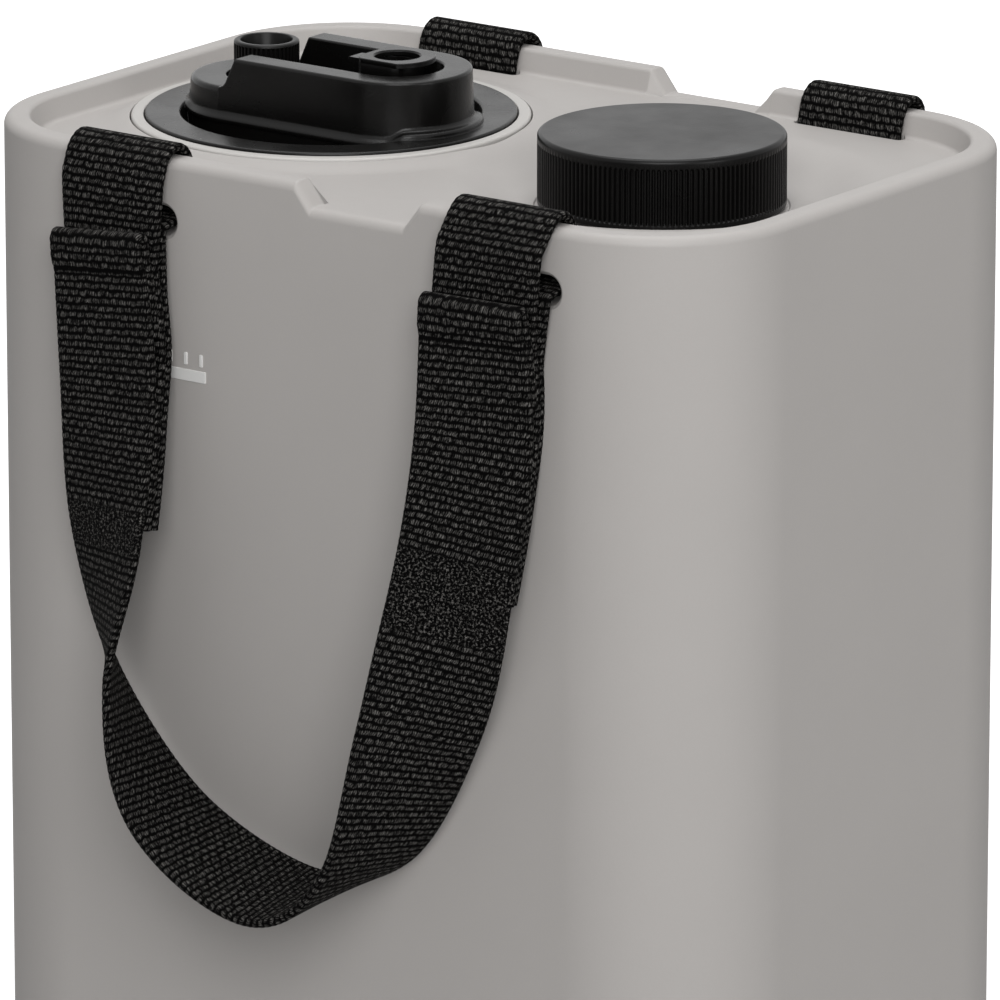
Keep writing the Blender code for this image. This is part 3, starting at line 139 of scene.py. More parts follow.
# Name, place, height aimed at, size and power of each lamp
LAMPS = (
    ("key", (1.18, -1.55, 1.35), 0.25, 1.3, 29.5), ("side", (1.9, -0.3, 0.5), 0.25, 0.7, 5.2),
    ("top", (-0.15, 0.2, 1.9), 0.35, 1.2, 16.5),
)

# Webbing
STRAP_X = 0.057
WEBBING_WIDTH = 0.03
HANDLE_THICKNESS = 0.0022
ANCHOR_THICKNESS = 0.002
LAYER_GAP = 0.0001
ROW_PITCH = 0.0018
BLOCK_WIDTH = 0.0028
ROW_WOBBLE = 0.0013
STROKES = 5.0
RELIEF = 0.00013
TUNNEL_DEPTH = 0.01525
TUNNEL_HEIGHT = 0.0075
SLOT_WIDTH = 0.0032
SLOT_OUT = FACE - RIM_FOOT_WIDTH + 0.00015
FOLD_PITCH = 0.0022
FOLD_FRACTION = 0.07
LEG_END = 9.0 / 46.0
UPPER_START = 1.0 / 46.0
LOWER_START = 2.0 / 46.0
FOLD_STEPS = 40
HANDLE_STEPS = 900
LEG_STEPS = 160
SEAM_HEIGHTS = (-0.0278, -0.0268)
SEWN_PATCHES = ((True, -0.094, -0.084), (False, -0.099, -0.08))
LOOP_SHIFT = {(-1, -1): 0.0012, (1, -1): 0.0, (-1, 1): -0.0012, (1, 1): 0.0}
# Share of the half span, drift along x, distance out, drop and twist in degrees
HANDLE_ROUTE = (
    (-1.0, 0.0004, 0.0084, 0.0204, 7), (-1.0, 0.004, 0.0096, 0.0534, 3),
    (-1.0, 0.006, 0.0132, 0.0899, 19), (-0.9, 0.004, 0.0159, 0.1249, 56),
    (-0.5, -0.0019, 0.0162, 0.1558, 90), (0.0, 0.0033, 0.0162, 0.1704, 101),
    (0.5, 0.0005, 0.017, 0.1578, 81), (0.8, -0.0018, 0.0161, 0.1235, 48),
    (0.95, -0.0028, 0.0134, 0.0893, 18), (1.0, -0.0019, 0.0094, 0.0532, 14),
    (1.0, -0.0027, 0.0088, 0.0204, -2),
)


def smooth_step(value):
    value = min(max(value, 0.0), 1.0)
    return value * value * (3.0 - 2.0 * value)


def rounded(*points, steps=4):
    """Rounds the corners of an open line of points, each given with its own radius."""
    line = []
    last = len(points) - 1
    for index, (a, b, radius) in enumerate(points):
        here = np.array((a, b))
        if radius <= 0.0 or index in (0, last):
            line.append((a, b))
            continue
        back = np.array(points[index - 1][:2]) - here
        ahead = np.array(points[index + 1][:2]) - here
        reach = 0.49 * min(np.linalg.norm(back), np.linalg.norm(ahead))
        back = back / np.linalg.norm(back)
        ahead = ahead / np.linalg.norm(ahead)
        half = acos(float(np.clip(back @ ahead, -1.0, 1.0))) / 2.0
        cut = min(radius / tan(half), reach)
        radius = cut * tan(half)
        middle = back + ahead
        centre = here + middle / np.linalg.norm(middle) * (radius / sin(half))
        start = here + back * cut - centre
        end = here + ahead * cut - centre
        first = atan2(start[1], start[0])
        turn = (atan2(end[1], end[0]) - first + pi) % (2.0 * pi) - pi
        for step in range(steps + 1):
            angle = first + turn * step / steps
            x = centre[0] + radius * cos(angle)
            line.append((x, centre[1] + radius * sin(angle)))
    return line


def linked(name, data):
    made = bpy.data.objects.new(name, data)
    bpy.context.scene.collection.objects.link(made)
    return made


class Shape:
    """Collects points and faces, then becomes a mesh object."""

    def __init__(self):
        self.points = []
        self.faces = []

    def ring(self, points):
        start = len(self.points)
        self.points += [tuple(float(value) for value in point) for point in points]
        return list(range(start, len(self.points)))

    def join(self, lower, upper, closed=True):
        count = len(lower)
        for index in range(count if closed else count - 1):
            following = (index + 1) % count
            self.faces.append((lower[index], lower[following], upper[following], upper[index]))

    def loft(self, rings, caps=(True, True), closed=True):
        rows = [self.ring(ring) for ring in rings]
        for lower, upper in zip(rows, rows[1:]):
            self.join(lower, upper, closed)
        if caps[0]:
            self.faces.append(tuple(rows[0][::-1]))
        if caps[1]:
            self.faces.append(tuple(rows[-1]))
        return rows

    def lathe(self, profile, centre_x, steps, groove=None):
        """Spins a profile of radius and height. Ends on the axis become single points."""
        rows = []
        for radius, height in profile:
            if radius <= 1e-7:
                rows.append(self.ring([(centre_x, 0.0, height)]))
                continue
            ring = []
            for index in range(steps):
                angle = 2.0 * pi * index / steps
                reach = radius - (groove(angle, radius, height) if groove else 0.0)
                ring.append((centre_x + reach * cos(angle), reach * sin(angle), height))
            rows.append(self.ring(ring))
        pairs = list(zip(rows, rows[1:]))
        if len(rows[0]) > 1 and len(rows[-1]) > 1:
            pairs.append((rows[-1], rows[0]))
        for lower, upper in pairs:
            if len(lower) > 1 and len(upper) > 1:
                self.join(lower, upper)
                continue
            for index in range(steps):
                ahead = (index + 1) % steps
                if len(lower) == 1:
                    self.faces.append((lower[0], upper[ahead], upper[index]))
                else:
                    self.faces.append((lower[index], lower[ahead], upper[0]))

    def make(self, name, angle=CREASE, lift=CREST):
        mesh = bpy.data.meshes.new(name)
        mesh.from_pydata([(x, y, z + lift) for x, y, z in self.points], [], self.faces)
        bm = bmesh.new()
        bm.from_mesh(mesh)
        bmesh.ops.recalc_face_normals(bm, faces=bm.faces)
        bm.to_mesh(mesh)
        bm.free()
        made = linked(name, mesh)
        smooth(made, angle)
        return made


def smooth(made, angle):
    made.data.shade_smooth()
    made.data.set_sharp_from_angle(angle=radians(angle))


def lofted(name, rings):
    shape = Shape()
    shape.loft(rings)
    return shape.make(name)


def prism(name, plan, heights):
    """A flat plan of x and y, raised between two heights."""
    return lofted(name, [[(x, y, z) for x, y in plan] for z in heights])


def bar(name, side, half_width):
    """A side outline of x and z, extended both ways across y."""
    return lofted(name, [[(x, y, z) for x, z in side] for y in (-half_width, half_width)])


def spun(name, profile, centre_x, steps=96, groove=None, angle=CREASE):
    shape = Shape()
    shape.lathe(profile, centre_x, steps, groove)
    return shape.make(name, angle)


def apply_modifiers(piece):
    graph = bpy.context.evaluated_depsgraph_get()
    mesh = bpy.data.meshes.new_from_object(piece.evaluated_get(graph))
    piece.modifiers.clear()
    piece.data = mesh


def cut(target, guide, operation="DIFFERENCE"):
    """Applies one Boolean at once and throws its guide away."""
    modifier = target.modifiers.new("cut", "BOOLEAN")
    modifier.operation = operation
    modifier.solver = "MANIFOLD"
    modifier.object = guide
    apply_modifiers(target)
    bpy.data.objects.remove(guide, do_unlink=True)


def flatten_normals(piece):
    """Weights the normals by face area, so flats stay flat beside their fillets."""
    modifier = piece.modifiers.new("normals", "WEIGHTED_NORMAL")
    modifier.keep_sharp = True
    modifier.weight = 90
    apply_modifiers(piece)


def finish_piece(piece, body, look, nodes=(), angle=CREASE):
    """Gives a piece its look, the nodes it replaces and the body it rides on."""
    smooth(piece, angle)
    if not piece.data.uv_layers:
        flatten_normals(piece)
    piece.data.materials.clear()
    piece.data.materials.append(look)
    if nodes:
        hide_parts(*nodes)
    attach(piece, body)


def stadium(half_length, half_width, steps):
    reach = half_length - half_width
    ring = []
    for side in (1, -1):
        for index in range(steps + 1):
            angle = pi * (index / steps - 0.5)
            along = reach + half_width * cos(angle)
            ring.append((side * along, side * half_width * sin(angle)))
    return ring


class Nodes:
    """Adds nodes to one shader tree."""

    def __init__(self, tree):
        self.tree = tree

    def add(self, kind, inputs, **settings):
        made = self.tree.nodes.new("ShaderNode" + kind)
        for key, value in settings.items():
            setattr(made, key, value)
        for key, value in inputs.items():
            self.put(made.inputs[key], value)
        return made

    def put(self, socket, value):
        if isinstance(value, bpy.types.NodeSocket):
            self.tree.links.new(value, socket)
        else:
            socket.default_value = value

    def math(self, operation, *values):
        return self.add("Math", dict(enumerate(values)), operation=operation).outputs[0]

    def noise(self, place, scale, detail=3.0, roughness=0.55):
        inputs = {"Vector": place, "Scale": scale, "Detail": detail, "Roughness": roughness}
        return self.add("TexNoise", inputs).outputs["Fac"]

    def ramp(self, factor, *stops):
        made = self.add("ValToRGB", {"Fac": factor})
        stripe = made.color_ramp
        while len(stripe.elements) < len(stops):
            stripe.elements.new(0.5)
        for element, (position, colour) in zip(stripe.elements, stops):
            element.position = position
            element.color = (*colour, 1.0)
        return made.outputs["Color"]

    def map(self, value, low, high, to_low, to_high):
        inputs = {"Value": value, 1: low, 2: high, 3: to_low, 4: to_high}
        return self.add("MapRange", inputs).outputs["Result"]

    def bump(self, height, distance, strength=1.0, normal=None):
        inputs = {"Height": height, "Distance": distance, "Strength": strength}
        if normal is not None:
            inputs["Normal"] = normal
        return self.add("Bump", inputs).outputs["Normal"]

    def pale_for_camera(self, base, pale, glossy_share):
        """Shows the pale background to camera and transmission rays, a share to glossy ones."""
        path = self.add("LightPath", {}).outputs
        seen = self.math("MAXIMUM", path["Is Camera Ray"], path["Is Transmission Ray"])
        factor = self.math("MULTIPLY_ADD", path["Is Glossy Ray"], glossy_share, seen)
        mixed = self.add("MixShader", {0: factor, 1: base, 2: pale}).outputs[0]
        ends = [node for node in self.tree.nodes if node.bl_idname.startswith("ShaderNodeOutput")]
        self.tree.links.new(mixed, ends[0].inputs["Surface"])


class Look(Nodes):
    """The nodes of one procedural material round its main shader."""

    def __init__(self, name, **settings):
        self.material = bpy.data.materials.new(name)
        self.material.use_nodes = True
        super().__init__(self.material.node_tree)
        self.shader = self.tree.nodes["Principled BSDF"]
        self.surface(**settings)

    def surface(self, **settings):
        for key, value in settings.items():
            self.put(self.shader.inputs[key.replace("_", " ")], value)

    def soft_edges(self, radius):
        return self.add("Bevel", {"Radius": radius}, samples=6).outputs["Normal"]


def tint(colour, factor):
    return tuple(min(channel * factor, 1.0) for channel in colour)


def moulded(name, colour, roughness, grain, depth, spread, edge, gloss=0.5):
    """Moulded plastic: fine pitted grain, slow colour drift and softened edges."""
    look = Look(name, Specular_IOR_Level=gloss)
    place = look.add("TexCoord", {}).outputs["Object"]
    drift = look.noise(place, 24.0, 4.0)
    speck = look.noise(place, 1.0 / grain, 2.0)
    mixed = look.math("MULTIPLY_ADD", speck, 0.35, look.math("MULTIPLY", drift, 0.65))
    dark = tint(colour, 1.0 - spread)
    light = tint(colour, 1.0 + spread)
    look.surface(Base_Color=look.ramp(mixed, (0.3, dark), (0.7, light)))
    rough = look.map(look.noise(place, 60.0), 0.3, 0.7, roughness - 0.05, roughness + 0.05)
    pits = look.noise(place, 0.6 / grain, 3.0, 0.6)
    look.surface(Roughness=rough, Normal=look.bump(pits, depth, 1.0, look.soft_edges(edge)))
    return look.material


def woven(name, dark, light, seams=(), patches=()):
    """Webbing: rows of yarn blocks in a brick pattern, strands along them, and sewn places. Its
    colour holds painted shade in the gaps between rows and blocks, and a painted sheen along the
    strands.
    """
    look = Look(name, Specular_IOR_Level=0.03)
    calc = look.math
    strap = look.add("UVMap", {}, uv_map="strap").outputs["UV"]
    parts = look.add("SeparateXYZ", {"Vector": strap})
    along, across = parts.outputs[0], parts.outputs[1]

    def wave(value, beats=1.0):
        return calc("ABSOLUTE", calc("SINE", calc("MULTIPLY", value, beats * pi)))

    def streaks(scale, detail, roughness=0.55):
        stretched = look.add("Mapping", {"Vector": slanted, "Scale": (*scale, 1.0)})
        return look.noise(stretched.outputs["Vector"], 1.0, detail, roughness)

    def distance(place):
        return calc("ABSOLUTE", calc("SUBTRACT", along, place))

    wobble = look.noise(strap, 420.0, 2.0)
    sway = look.noise(strap, 640.0, 2.0)
    rows = calc("DIVIDE", calc("MULTIPLY_ADD", wobble, ROW_WOBBLE, along), ROW_PITCH)
    rows = calc("SUBTRACT", rows, 0.5 * ROW_WOBBLE / ROW_PITCH)
    lean = calc("MULTIPLY_ADD", calc("FRACT", rows), 0.0004, across)
    shift = calc("MULTIPLY", calc("PINGPONG", calc("FLOOR", rows), 1.0), 0.5)
    blocks = calc("DIVIDE", calc("MULTIPLY_ADD", sway, 0.0013, lean), BLOCK_WIDTH)
    blocks = calc("ADD", blocks, shift)
    # Row and block humps: their low gaps are painted shade in the colour, and hollows in the bump
    row_hump = look.map(wave(rows), 0.27, 0.85, 0.0, 1.0)
    hump = calc("MULTIPLY", row_hump, look.map(wave(blocks), 0.06, 0.5, 0.1, 1.0))
    slanted = look.add("CombineXYZ", {"X": along, "Y": lean}).outputs[0]
    # Strand streaks: in the colour they are a painted sheen, in the bump a fine relief
    uneven = look.map(streaks((620.0, 1500.0), 1.0), 0.34, 0.64, 0.22, 1.0)
    fibre = look.map(streaks((1500.0, 6500.0), 2.0, 0.6), 0.32, 0.68, 0.3, 1.0)
    stroke = look.map(wave(blocks, STROKES), 0.1, 0.85, 0.06, 1.0)
    yarn = calc("MULTIPLY", stroke, calc("MULTIPLY", uneven, fibre))
    weave_sheen_and_shade = calc("POWER", calc("MULTIPLY", hump, yarn), 1.25)
    height = calc("MULTIPLY", hump, calc("MULTIPLY_ADD", yarn, 0.6, 0.4))
    speck = look.map(look.noise(strap, 1500.0, 2.0, 0.7), 0.5, 0.7, 0.0, 0.6)
    # In the sewn patches a speckle takes the place of the weave's painted sheen and shade
    for begin, finish in patches:
        half = (finish - begin) / 2.0
        inside = look.map(distance((begin + finish) / 2.0), half, half + 0.0008, 1.0, 0.0)
        weave_sheen_and_shade = look.add("Mix", {"Factor": inside, "A": weave_sheen_and_shade, "B": speck}).outputs["Result"]
    for place in seams:
        line = look.map(distance(place), 0.0003, 0.0009, 0.12, 1.0)
        weave_sheen_and_shade = calc("MULTIPLY", weave_sheen_and_shade, line)
        height = calc("MULTIPLY", height, line)
    # The dark end of the ramp is painted shade in the gaps, the light end a painted sheen on the
    # yarn tops
    tones = look.ramp(weave_sheen_and_shade, (0.04, dark), (0.3, tint(light, 0.3)), (0.75, light))
    rough = look.map(weave_sheen_and_shade, 0.0, 1.0, 0.85, 0.55)
    look.surface(Base_Color=tones, Roughness=rough, Normal=look.bump(height, 0.0005, 0.8))
    return look.material


BLACK = (0.0034, 0.0032, 0.003)
RIB_BLACK = (0.003, 0.0028, 0.0027)
BODY_LOOK = moulded(
    "body_plastic_look", (0.42, 0.4, 0.385), 0.55, 0.0006, 0.00002, 0.02, 0.0003
)
RING_LOOK = moulded(
    "ring_plastic_look", (0.5, 0.485, 0.465), 0.5, 0.0006, 0.00002, 0.02, 0.0002
)
BLACK_LOOK = moulded("black_plastic_look", BLACK, 0.26, 0.0005, 0.00003, 0.12, 0.0005, 0.22)
CRISP_LOOK = moulded("fitting_plastic_look", BLACK, 0.26, 0.0005, 0.00002, 0.12, 0.00012, 0.22)
RIB_LOOK = moulded("ribbed_plastic_look", RIB_BLACK, 0.32, 0.0005, 0.00002, 0.12, 0.0001, 0.15)
RUBBER_LOOK = moulded("rubber_look", (0.02, 0.02, 0.02), 0.7, 0.0004, 0.00002, 0.15, 0.0001)
# Webbing tones: the dark one in the weave's gaps is painted shade, the light one a painted sheen
# on the yarn tops
WEB_DARK = (0.0012, 0.0011, 0.0011)
WEB_SHEEN_LIGHT = (0.2, 0.192, 0.182)
WEB_LOOK = woven("webbing_look", WEB_DARK, WEB_SHEEN_LIGHT)


# The tank
def plan_stations():
    """Points round the plan: fillet centre, outward direction and local notch depth."""
    half_x = BODY_LENGTH / 2.0 - CORNER_RADIUS
    half_y = BODY_WIDTH / 2.0 - CORNER_RADIUS
    floor = DECK_DEPTH - 0.0002
    ramp = rounded(
        (0.0205, 0.0, 0.0), (0.0183, 0.0, 0.0007), (0.0137, floor, 0.0007), (0.011, floor, 0.0),
        steps=6,
    )
    notch = [(-offset, drop) for offset, drop in ramp] + ramp[::-1]
    steps = 24
    stations = []
    corners = (((-1, -1), 180), ((1, -1), 270), ((1, 1), 0), ((-1, 1), 90))
    for (sign_x, sign_y), start in corners:
        for index in range(steps + 1):
            angle = radians(start + 90.0 * index / steps)
            outward = (cos(angle), sin(angle))
            stations.append((sign_x * half_x, sign_y * half_y, *outward, 0.0))
        if sign_x == sign_y:
            side = -1.0 if sign_x < 0 else 1.0
            run = notch if side < 0 else [(-offset, drop) for offset, drop in notch]
            for offset, drop in run:
                stations.append((NOTCH_X + offset, side * half_y, 0.0, side, drop))
    return stations


def outline(stations, inset, height):
    """One ring of the tank's plan at an inset, lowered where the notches are."""
    ring = []
    for x, y, normal_x, normal_y, drop in stations:
        reach = CORNER_RADIUS - inset
        z = height
        if height > -DECK_DEPTH - 0.0025:
            z = height - drop
            if inset >= NOTCH_END_INSET:
                z = max(z, -DECK_DEPTH)
        ring.append((x + normal_x * reach, y + normal_y * reach, z))
    return ring


def outline_inset(x, y):
    over_x = abs(x) - (BODY_LENGTH / 2.0 - CORNER_RADIUS)
    over_y = abs(y) - (BODY_WIDTH / 2.0 - CORNER_RADIUS)
    outside = hypot(max(over_x, 0.0), max(over_y, 0.0)) + min(max(over_x, over_y), 0.0)
    return CORNER_RADIUS - outside


def deck_height(x, y):
    lid_distance = hypot(x - LID_X, y)
    cap_distance = hypot(x - CAP_X, y)
    rise = smooth_step((SEAT_RADIUS + LIFT_REACH - lid_distance) / LIFT_REACH)
    edge = smooth_step((outline_inset(x, y) - RIM_FOOT_WIDTH) / 0.006)
    sink = smooth_step((DISH_RADIUS - cap_distance) / DISH_SLOPE)
    seat = STEP_DROP * smooth_step((SEAT_STEP + STEP_WIDTH - cap_distance) / STEP_WIDTH)
    return -DECK_DEPTH + SEAT_LIFT * rise * edge + (DISH_DEPTH + DECK_DEPTH) * sink - seat


def circle(centre_x, radius, steps, offset=0.0):
    ring = []
    for index in range(steps):
        angle = 2.0 * pi * (index + offset) / steps
        ring.append((centre_x + radius * cos(angle), radius * sin(angle)))
    return ring


def patch(shape, boundary, holes, samples, height_at):
    """Fills a closed ring with a sheet that follows a height formula and leaves round holes."""
    loops = [boundary]
    for centre_x, radius, steps in holes:
        ring = [(x, y, height_at(x, y)) for x, y in circle(centre_x, radius, steps)]
        loops.append(shape.ring(ring))
    flat = [Vector(shape.points[index][:2]) for loop in loops for index in loop]
    edges = []
    start = 0
    for loop in loops:
        count = len(loop)
        edges += [(start + index, start + (index + 1) % count) for index in range(count)]
        start += count
    fixed = len(flat)
    flat += [Vector(point) for point in samples]
    known = [index for loop in loops for index in loop]
    out, _, triangles, _, _, _ = delaunay_2d_cdt(flat, edges, [], 1, 1e-7)
    known += shape.ring([(point.x, point.y, height_at(point.x, point.y)) for point in out[fixed:]])
    for triangle in triangles:
        middle = sum((out[index] for index in triangle), Vector((0.0, 0.0))) / 3.0
        inside = [hypot(middle.x - x, middle.y) < radius for x, radius, _ in holes]
        if not any(inside):
            shape.faces.append(tuple(known[index] for index in triangle))
    return loops[1:]


def deck_samples(margin):
    """Sample points of the deck: rings round the lid seat and the cap, then a loose grid."""
    points = []
    for number, radius in enumerate(np.linspace(SEAT_RADIUS + 0.0009, SEAT_RADIUS + 0.0085, 8)):
        points += circle(LID_X, radius, 144, 0.5 * (number % 2))
    ring_count = len(points)
    for number, radius in enumerate((SEAT_STEP, SEAT_STEP + STEP_WIDTH)):
        points += circle(CAP_X, radius, 360, 0.5 * number)
    for number, radius in enumerate(np.linspace(0.0315, 0.054, 16)):
        points += circle(CAP_X, radius, 120, 0.5 * (number % 2))
    kept = []
    for order, (x, y) in enumerate(points):
        if outline_inset(x, y) < margin:
            continue
        near_lid = hypot(x - LID_X, y) - SEAT_RADIUS
        if order >= ring_count and near_lid < 0.0088:
            continue
        kept.append((x, y))
    for x in np.arange(-0.098, 0.0985, 0.0035):
        for y in np.arange(-0.0632, 0.0635, 0.0035):
            clear = hypot(x - LID_X, y) > SEAT_RADIUS + 0.01
            clear = clear and hypot(x - CAP_X, y) > 0.056
            if clear and outline_inset(x, y) > margin + 0.001:
                kept.append((float(x), float(y)))
    return kept


def hole_wall(shape, first, last, centre_x, profile):
    """The wall of a round hole, from its ring in the deck to its ring in the ceiling.

    Heights near 1 in the profile are measured from the deck's own height plus 1."""
    for radius, height in profile[1:-1]:
        ring = []
        for x, y in circle(centre_x, radius, len(first)):
            z = deck_height(x, y) + height - 1.0 if height > 0.5 else height
            ring.append((x, y, z))
        row = shape.ring(ring)
        shape.join(first, row)
        first = row
    shape.join(first, last)


def build_tank():
    shape = Shape()
    stations = plan_stations()
    floor = -CREST
    profile = rounded(
        (0.024, floor + 0.002, 0.0), (0.021, floor, 0.0008), (0.0, floor, BASE_FILLET),
        (0.0, -0.02, 0.0), (0.0, 0.0, 0.0025), (0.00615, 0.0, 0.0013),
        (0.00804, -DECK_DEPTH, 0.0019), (RIM_FOOT_WIDTH + 0.0006, -DECK_DEPTH, 0.0),
        steps=6,
    )
    outer_rows = [outline(stations, inset, height) for inset, height in profile]
    rows = shape.loft(outer_rows, (True, False))
    mouth_steps = 144
    bore_steps = 96
    mouth_edge = SEAT_RADIUS + 0.0005
    neck_foot = NECK_RADIUS + 0.0045
    holes = [(LID_X, mouth_edge, mouth_steps), (CAP_X, neck_foot, bore_steps)]
    margin = RIM_FOOT_WIDTH + 0.0014
    mouth, neck = patch(shape, rows[-1], holes, deck_samples(margin), deck_height)
    plain = [station for station in stations if station[4] == 0.0]
    inner_floor = floor + WALL
    inner = rounded(
        (0.024, inner_floor + 0.002, 0.0), (0.021, inner_floor, 0.0008),
        (WALL, inner_floor, BASE_FILLET - WALL), (WALL, -0.034, 0.004), (0.0125, -0.027, 0.003),
        (0.0125, CEILING, 0.001), (0.0145, CEILING, 0.0),
    )
    inner_rows = [outline(plain, inset, height) for inset, height in inner]
    inner_rows = shape.loft(inner_rows, (True, False))
    sleeve = SLEEVE_RADIUS + FIT_GAP
    inner_holes = [(LID_X, sleeve, mouth_steps), (CAP_X, NECK_BORE, bore_steps)]
    loops = patch(shape, inner_rows[-1], inner_holes, [], lambda x, y: CEILING)
    seat_floor = COLLAR_SEAT - 0.0025 - FIT_GAP
    mouth_profile = rounded(
        (mouth_edge, 1.0, 0.0), (SEAT_RADIUS, 1.0, 0.0005), (SEAT_RADIUS, seat_floor, 0.0003),
        (sleeve, seat_floor, 0.0003), (sleeve, CEILING, 0.0),
    )
    neck_profile = rounded(
        (neck_foot, DISH_DEPTH, 0.0), (NECK_RADIUS, DISH_DEPTH, 0.0008),
        (NECK_RADIUS, NECK_TOP, 0.0006), (NECK_BORE, NECK_TOP, 0.0006),
        (NECK_BORE, CEILING, 0.0),
    )
    hole_wall(shape, mouth, loops[0], LID_X, mouth_profile)
    hole_wall(shape, neck, loops[1], CAP_X, neck_profile)
    tank = shape.make("tank_shell")
    for end in (-1, 1):
        for side in (-1, 1):
            cut(tank, tunnel_guide(end * STRAP_X + LOOP_SHIFT[end, side], side))
    finish_piece(tank, "tank", BODY_LOOK, ["tank"])


def tunnel_guide(tunnel_x, side):
    """The strap tunnel from its rounded mouth in the face to the slot in the deck."""
    flare = 0.0009
    sections = [(FACE + 0.002, 0.0, TUNNEL_HEIGHT, 0.0, flare)]
    for step in range(6):
        swing = sin(pi / 2.0 * step / 5.0)
        out = FACE + 0.00005 - flare * swing
        sections.append((out, 0.0, TUNNEL_HEIGHT, 0.0, flare * (1.0 - swing)))
    sections += [
        (FACE - 0.002, 0.0, TUNNEL_HEIGHT, 0.0, 0.0),
        (FACE - 0.0042, 0.0002, TUNNEL_HEIGHT - 0.0006, 12.0, 0.0),
        (SLOT_OUT + 0.00325, 0.00085, TUNNEL_HEIGHT - 0.0014, 30.0, 0.0),
        (SLOT_OUT + 0.00085, 0.00305, SLOT_WIDTH + 0.0018, 60.0, 0.0),
        (SLOT_OUT, 0.00625, SLOT_WIDTH, 90.0, 0.0),
        (SLOT_OUT, TUNNEL_DEPTH + 0.002, SLOT_WIDTH, 90.0, 0.0),
    ]
    rings = []
    for out, rise, opening, slope, grow in sections:
        angle = radians(slope)
        height = -TUNNEL_DEPTH + rise
        ring = []
        half = WEBBING_WIDTH / 2.0 + 0.001 + grow
        for along, across in stadium(half, opening / 2.0 + grow, 14):
            y = side * (out + across * sin(angle))
            ring.append((tunnel_x + along, y, height + across * cos(angle)))
        rings.append(ring)
    return lofted("guide_tunnel", rings)


def build_collar():
    bore = SKIRT_RADIUS + 0.0013
    recess = LID_RADIUS + FIT_GAP
    top = LID_TOP - 0.0006
    profile = rounded(
        (bore, -0.026, 0.0), (SLEEVE_RADIUS, -0.026, 0.0005),
        (SLEEVE_RADIUS, COLLAR_SEAT - 0.0025, 0.0003),
        (COLLAR_OUTER, COLLAR_SEAT - 0.0025, 0.0003), (COLLAR_OUTER, top, 0.0007),
        (recess, top, 0.0004), (recess, COLLAR_SEAT, 0.0002), (bore, COLLAR_SEAT, 0.0004),
        (bore, -0.0258, 0.0),
    )
    shape = Shape()
    shape.lathe(profile, LID_X, 144)
    add_thread(shape, LID_X, bore, -0.0008, LID_PITCH, -0.0235, LID_TURNS)
    collar = shape.make("collar_ring")
    finish_piece(collar, "tank", RING_LOOK, ["mouth_collar"])


THREAD_FORM = ((-0.2, -0.5), (0.6, -0.42), (1.0, -0.15), (1.0, 0.15), (0.6, 0.42), (-0.2, 0.5))


def add_thread(shape, centre_x, radius, depth, pitch, start, turns, width=0.0017):
    """A helical ridge with tapered ends, outside a wall or, with negative depth, inside it."""
    steps = int(48 * turns)
    rings = []
    for index in range(steps + 1):
        share = index / steps
        angle = 2.0 * pi * turns * share
        taper = smooth_step(min(share, 1.0 - share) * turns * 10.0)
        reach = depth * max(taper, 0.05)
        height = start + pitch * turns * share
        ring = []
        for out, up in THREAD_FORM:
            distance = radius + reach * out
            x = centre_x + distance * cos(angle)
            ring.append((x, distance * sin(angle), height + up * width))
        rings.append(ring)
    shape.loft(rings)


# The lid
def boss_rings(profile, ledge=None, steps=40):
    """Plan rings of the boss. A second profile takes over towards the two round ends."""
    reach = BOSS_HALF_LENGTH - BOSS_HALF_WIDTH
    rings = []
    for row, (offset, height) in enumerate(profile):
        ring = []
        for side in (1, -1):
            for index in range(steps + 1):
                angle = pi * (index / steps - 0.5)
                out, rise = offset, height
                if ledge:
                    along = reach + BOSS_HALF_WIDTH * cos(angle)
                    share = smooth_step((along - 0.0292) / 0.0036)
                    share *= 1.0 if side > 0 else LEFT_LEDGE_SHARE
                    out += (ledge[row][0] - offset) * share
                    rise += (ledge[row][1] - height) * share
                wide = BOSS_HALF_WIDTH + out
                x = LID_X + side * (reach + wide * cos(angle))
                ring.append((x, side * wide * sin(angle), rise))
        rings.append(ring)
    return rings


def boss_profiles(top, fillet, grow):
    """Wall outlines of the boss: with a low bead along its sides, and a ledge at its ends."""
    bead = -0.0046
    ledge = -0.0022
    side = [
        (0.0003, LID_FLOOR + 0.0004, 0.0006), (0.0003, bead - 0.0014, 0.0005),
        (0.0014, bead - 0.0007, 0.0006), (0.0013, bead + 0.0002, 0.0007),
        (0.0001, bead + 0.0013, 0.0014),
    ]
    end = [
        (0.001, LID_FLOOR + 0.0004, 0.0006), (0.0018, ledge - 0.003, 0.0005),
        (0.0023, ledge - 0.0011, 0.0004), (0.0021, ledge + 0.0001, 0.0009),
        (0.0, ledge + 0.0005, 0.0016),
    ]
    outlines = []
    for wall in (side, end):
        wall.insert(0, (0.0012, LID_FLOOR - 0.0006, 0.0))
        wall += [(-0.0004, top, fillet), (-0.003, top, 0.0)]
        wall = [(out + grow, height, radius) for out, height, radius in wall]
        outlines.append(rounded(*wall, steps=6))
    return outlines


